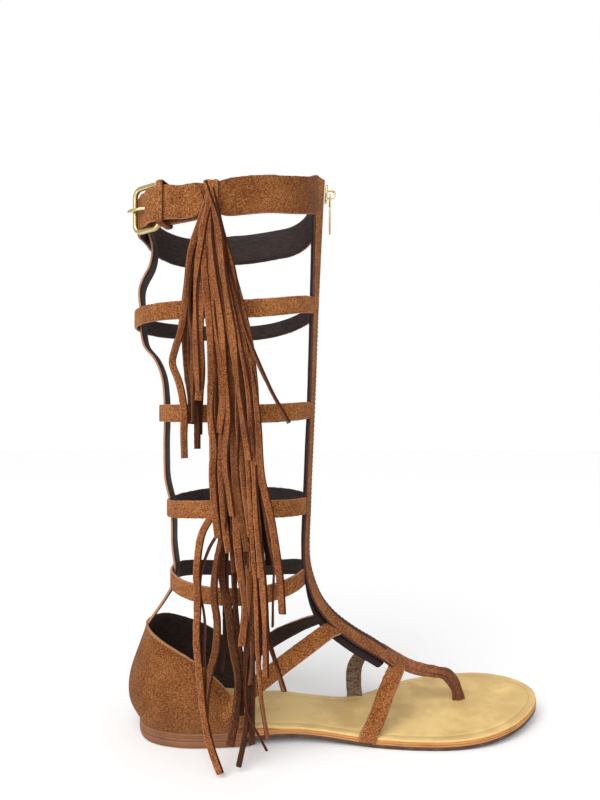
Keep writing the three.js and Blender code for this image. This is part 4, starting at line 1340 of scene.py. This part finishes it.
slider_mount = ridge_mount(SLIDER_Z)
plate_back = slider_mount.at + slider_mount.out * SLIDER_STANDOFF
slider_plate = bevelled_plate(
    SLIDER_WIDTH, SLIDER_HEIGHT, SLIDER_CORNER, SLIDER_PLATE, SLIDER_BEVEL, plate_back,
    slider_mount.forward, slider_mount.up,
)
bridge_foot = plate_back + slider_mount.out * SLIDER_PLATE / 2
bridge_top = SLIDER_PLATE / 2 + BRIDGE_RISE + BRIDGE_BAR
bridge_half = (BRIDGE_LENGTH - BRIDGE_BAR) / 2
bridge_line = [(1, 0), (1, 0.75), (0.7, 0.97), (0, 1), (-0.7, 0.97), (-1, 0.75), (-1, 0)]
bridge_path = Path(
    [
        bridge_foot + slider_mount.up * bridge_half * up + slider_mount.out * bridge_top * out
        for up, out in bridge_line
    ]
)
from_foot = slider_mount.out * 0.01 - bridge_foot
bridge_places = stations(bridge_path, lambda at: at + from_foot, 0.4)
bridge = cast_bar(bridge_places, BRIDGE_WIDTH, BRIDGE_BAR).made("bridge", [])
zip_slider = joined_mesh("zip_slider", bridge, slider_plate, plating)
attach(zip_slider, "sandal")
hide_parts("zip_slider")

# ---- the zip's pull tab
# A slim cast tab whose eye passes under the slider's bridge. It hangs straight down
# and swings up and out from the shin.
TAB_LENGTH = 26
TAB_BODY = 3.4
TAB_THICK = 1.1
EYE_WIDTH = 6.6
EYE_HEIGHT = 8.4
EYE_CORNER = 2.2
TAB_DROP = 0.8
TAB_STANDS_OUT = 3.25
TAB_LAP = 1
TAB_BEVEL = 0.3

tab_stands = SLIDER_STANDOFF + TAB_STANDS_OUT
tab_pivot = slider_mount.at + slider_mount.out * tab_stands - slider_mount.up * TAB_DROP
sideways = Vector((0, 1, 0))
upwards = Vector((0, 0, 1))
eye_places = frame_places(
    tab_pivot + upwards * (TAB_THICK - EYE_HEIGHT) / 2, sideways, upwards, EYE_WIDTH - TAB_THICK,
    EYE_HEIGHT - TAB_THICK, EYE_CORNER - TAB_THICK / 2, 0.4,
)
tab_eye = cast_bar(eye_places, TAB_THICK, TAB_THICK, closed=True).made("tab_eye", [])
body_length = TAB_LENGTH - EYE_HEIGHT + TAB_LAP
body_middle = tab_pivot + upwards * (TAB_THICK / 2 - EYE_HEIGHT + TAB_LAP - body_length / 2)
tab_plate = bevelled_plate(
    TAB_BODY, body_length, TAB_BODY / 2 - 0.1, TAB_THICK, TAB_BEVEL,
    body_middle - Vector((TAB_THICK / 2, 0, 0)), sideways, upwards,
)
zip_pull_tab = joined_mesh("zip_pull_tab", tab_eye, tab_plate, plating)
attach(zip_pull_tab, "pull_tab")
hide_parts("zip_pull_tab")

# ---- the tassel
# A fringe of unlined suede strands, cut about 4 mm wide and 1.3 mm thick, gathered under the loop.
# They hang free, cross and curl, and end at many heights, the longest at the floor.
STRAND_THICK = 1.3
STRAND_LAYER = 2.7
STRAND_Y = -60
TRUNK_LEFT = [(180, 25), (190, 26), (220, 25.5), (250, 24), (280, 22), (300, 21), (314, 22), (328, 23.6)]
TRUNK_RIGHT = [(180, 52), (190, 51), (220, 48), (250, 42.5), (280, 36), (305, 30.5), (316, 28), (328, 25.2)]
TRUNK_ROWS = [328, 316, 304, 280, 250, 225, 200]
GATHERED = (290, 328)
NARROWED = (300, 328)
NARROWS_BY = 0.5
FREE_FROM = (10, 60)
SWAY = 1.1
DRIFT = (1.2, 1.3)
LEAN = (30, 34)
TINT_VARIES = 0.14
# Each strand: its layer from the front, its lane in the trunk, from 0 at the heel's side to 1 at the
# toe's, its width, its twist in degrees, and the places (x, z) down its length below the trunk.
STRANDS = [
    # the two that cross at the top, over the rest
    (-1, 0, 4.4, 0, [(21.6, 331.5), (24, 324), (27.2, 314), (29.6, 303), (32, 286), (34.4, 268), (37, 246),
     (40.4, 222), (43.6, 198), (46, 176)]),
    (-1, 0, 4, 0, [(26.2, 320), (23.6, 314), (21.6, 306), (19.6, 294), (17.4, 276), (16.6, 256),
     (17.6, 236), (19, 214)]),
    # the short group at the back
    (0, 0.3, 4.6, 0, [(22, 306), (20.6, 280), (19.4, 250), (20, 224), (19.5, 209)]),
    (0, 0, 4.2, 0, [(18.8, 309), (13.4, 290), (11, 274), (10, 258), (8.4, 247), (5.6, 238), (4.4, 230),
     (7.6, 219), (9, 204), (9.8, 190), (11, 177)]),
    (1, 0.1, 4.2, 10, [(19.4, 306), (14, 284), (12, 258), (14.6, 240), (15.4, 222), (14.8, 197)]),
    (2, 0.1, 3.6, -30, [(19.8, 304), (15.4, 274), (13, 240), (15.5, 215), (16.8, 198), (16.6, 182)]),
    (2, 0, 4.4, 0, [(19, 306), (12.8, 282), (9.6, 250), (11.5, 226), (12.5, 208), (12, 196)]),
    (3, 0.2, 4.2, 0, [(20, 300), (16, 270), (17.5, 240), (18.5, 215), (17.4, 190)]),
    # the middle group
    (0, 0.45, 4.8, -8, [(24.6, 300), (25, 276), (26.4, 254), (29.4, 236), (31.2, 222), (31.6, 206),
     (30.4, 191)]),
    (1, 0.15, 4.6, 0, [(28, 184), (28.4, 176), (29.2, 162)]),
    (0, 0, 4.2, 20, [(26, 182), (26, 170), (27.8, 152), (29.1, 133)]),
    (0, 0.25, 4.4, 0, [(30, 172), (32, 150), (33, 138), (34.2, 124.6)]),
    (0, 0.36, 4.4, 0, [(33.4, 176), (34.6, 160), (36.2, 145)]),
    (1, 0.52, 3.4, 40, [(40, 175), (39.8, 155), (39.2, 141)]),
    (0, 0.6, 4.4, -10, [(41.8, 176), (43.6, 156), (45.6, 144), (47, 133.6)]),
    (1, 0.56, 4.2, 0, [(40, 168), (42.4, 145), (45, 125)]),
    (0, 0.8, 4, 15, [(47.6, 176), (48, 157)]),
    (0, 0.86, 4.6, 0, [(49.2, 170), (50.2, 150), (51.4, 132), (53.5, 111)]),
    (1, 0.7, 3.8, 0, [(46, 165), (47.6, 138), (48.4, 114.4)]),
    (0, 1, 4.4, -12, [(53.2, 166), (58, 145), (61.2, 125), (63.2, 109), (65, 90)]),
    (1, 0.95, 3.2, 65, [(51, 165), (54.8, 144), (57.4, 131), (60, 115), (59.5, 100), (58.6, 83)]),
    (1, 0.8, 4.2, 0, [(49, 155), (52, 128), (54.2, 109), (54.8, 91.3)]),
    (2, 0.32, 4.2, 0, [(35.8, 162), (37.6, 141), (37.2, 125), (37.4, 112)]),
    (3, 0.1, 4.2, 0, [(27.5, 170), (29, 150), (31, 128)]),
    (3, 0.45, 4.2, 0, [(38, 170), (40, 145), (42, 118)]),
    (3, 0.9, 4.2, 0, [(51, 165), (54, 140), (57, 116)]),
    # strays in front
    (0, 1, 3, 35, [(36.5, 278), (42, 256), (45.8, 243), (57.6, 217), (69.4, 196.5)]),
    (0, 0.8, 3.2, 45, [(33, 280), (38.4, 250), (43.4, 229), (44.4, 217), (47.4, 204)]),
    (1, 1, 4.6, 0, [(37.5, 276), (43, 256), (46.8, 240), (49.2, 218), (50, 200), (50.4, 182), (51, 166)]),
    # the long strands
    (0, 0.02, 4.2, 30, [(26.6, 168), (25.6, 148), (19.6, 135), (17.4, 116), (17.8, 99), (17.6, 75),
     (20, 52), (21.9, 33), (25.1, 17), (30.3, 2.4)]),
    (1, 0.1, 3.4, 60, [(28.5, 162), (29.4, 138), (23.4, 126), (19.8, 115), (19, 104), (20.2, 86),
     (21.3, 64), (22.4, 46)]),
    (1, 0.2, 4.6, 0, [(31, 160), (32, 138), (28, 118), (26.4, 100), (28, 86), (26.8, 70), (23.8, 55),
     (22.6, 38), (23, 26), (25.6, 13)]),
    (2, 0.35, 5, 0, [(34, 160), (33.5, 135), (30.5, 112), (34, 92), (37, 70), (40, 52), (38.5, 34),
     (34.8, 14.6)]),
    (1, 0.45, 4.8, 0, [(38, 160), (40, 135), (41.6, 112), (44.2, 94), (42, 72)]),
    (1, 0.6, 3, 55, [(44, 160), (46, 130), (48, 105), (46.3, 78), (43.7, 48), (44.6, 33), (50, 24),
     (56, 14)]),
    (0, 0.75, 3, -50, [(47, 158), (49, 130), (50, 100), (50.9, 72), (52.8, 49), (54.7, 36), (57.3, 21)]),
    (2, 0.5, 3.2, 50, [(41, 150), (43, 120), (44, 90), (45, 60), (44.4, 40), (43.1, 20), (40.6, 3.4)]),
    (1, 0.9, 3.8, 15, [(50, 150), (53, 120), (55, 96), (57, 78), (62, 59), (66, 46)]),
    (0, 0.86, 4.2, 0, [(50.5, 142), (53, 115), (55.4, 91), (56, 72), (55.3, 56)]),
    (3, 0.6, 4.4, 0, [(44, 150), (46, 110), (48, 70), (47.4, 33), (47.6, 14)]),
    (1, 0.65, 4, 0, [(45, 142), (47, 105), (47.8, 85), (47, 65), (46.3, 50)]),
    (3, 0.3, 4, 0, [(34, 150), (33, 110), (31.8, 72), (30.3, 56)]),
    (2, 0.7, 4, 10, [(46, 150), (49, 115), (51.4, 85), (51, 62)]),
    (3, 0.4, 4, 0, [(38, 150), (37, 110), (39, 80), (41.5, 52), (40, 30)]),
]
FRINGE_LIGHT = colour(174, 112, 64)
FRINGE = colour(126, 71, 37)
FRINGE_DARK = colour(82, 42, 24)
# Near-black: painted shade on the back strands and the strands' cut sides, and a little random dye.
FRINGE_DEEP_AND_SHADE = colour(30, 12, 9)
FRINGE_RAW = colour(178, 120, 86)
# Painted shade for each layer of strands, from the front back: the back ones lie in the front ones' shadow.
LAYER_PAINTED_SHADE = (0.04, 0.3, 0.66, 0.84)

fringe_suede = suede_finish("fringe_suede", FRINGE_LIGHT, FRINGE, FRINGE_DARK, FRINGE_DEEP_AND_SHADE, FRINGE_RAW, 1400)


def strand_outline(width, thick):
    """A strand's section: unlined, its face pale along one border and dark along the other, where a slanted
    cut side is painted with the shade between strands.
    """
    half = width / 2
    t = thick / 2
    rows = [(-half, t * 0.6, 0.9, 0), (-half + 0.4, t, 0.7, 0), (-half * 0.4, t * 1.06, 0, 0)]
    rows += [(half * 0.4, t * 1.06, 0, 0), (half - 0.7, t, 0, 1), (half, 0, 0, 1)]
    rows += [(half, -t * 0.6, 0, 0), (half - 0.4, -t, 0, 0), (half * 0.4, -t, 0, 0)]
    rows += [(-half * 0.4, -t, 0, 0), (-half + 0.4, -t, 0, 0), (-half, -t * 0.6, 0, 1)]
    return rows


# The cut sides are painted near-black: partly the cut side's own colour, mostly the shade in the gaps between
# strands.
fringe_sides_painted_shade = Finish("fringe_sides_painted_shade", {"Roughness": 0.9, "Specular IOR Level": 0.1})
side_grain = fringe_sides_painted_shade.grain(900, 3)
fringe_sides_painted_shade.give("Base Color", fringe_sides_painted_shade.mix(side_grain, FRINGE_DEEP_AND_SHADE, FRINGE_DARK))
fringe_sides_painted_shade.relief(side_grain, 0.0003)

tassel_shell = Shell()
for seed, (layer, lane, width, twist, ends) in enumerate(STRANDS):
    trunk = []
    for z in [row for row in TRUNK_ROWS if row > ends[0][1] + 10]:
        x = eased(TRUNK_LEFT, z) + (eased(TRUNK_RIGHT, z) - eased(TRUNK_LEFT, z)) * lane
        trunk.append((x + 0.5 * ripple(seed, z, 30), z))
    line = []
    for x, z in trunk + ends:
        gathered = eased_step(z, *GATHERED)
        own = DRIFT[0] * math.sin(seed * 2.4) + DRIFT[1] * ripple(seed + 40, z, 45)
        y = STRAND_Y + layer * STRAND_LAYER * (1 - 0.6 * gathered) + own * (1 - 0.8 * gathered)
        line.append((x + SWAY * ripple(seed + 60, z, 24) * (1 - gathered), y + 2.2 * gathered, z))
    strand_places = []
    for place in stations(Path(line), lambda at: Vector((0, -1, 0)), 2):
        free = eased_step(place.length, *FREE_FROM)
        lean = LEAN[0] * math.copysign(1, math.sin(seed * 1.7))
        lean += LEAN[1] * ripple(seed + 80, place.length, 36)
        turn = Matrix.Rotation(math.radians(twist * free + lean * (0.6 + 0.4 * free)), 3, place.along)
        strand_places.append(place._replace(across=turn @ place.across, out=turn @ place.out))
    # Painted shade by layer, plus a random difference in dye from strand to strand.
    tint = LAYER_PAINTED_SHADE[max(layer, 0)] + TINT_VARIES * math.sin(seed * 5.1)
    wide = lambda place: width * (1 - NARROWS_BY * eased_step(place.at.z, *NARROWED))
    strap(tassel_shell, strand_places, wide, STRAND_THICK, 100 + seed, strand_outline, 0.22, 0.12, tint)
tassel = tassel_shell.made("tassel", [fringe_suede, fringe_sides_painted_shade])
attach(tassel, "sandal")
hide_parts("tassel")
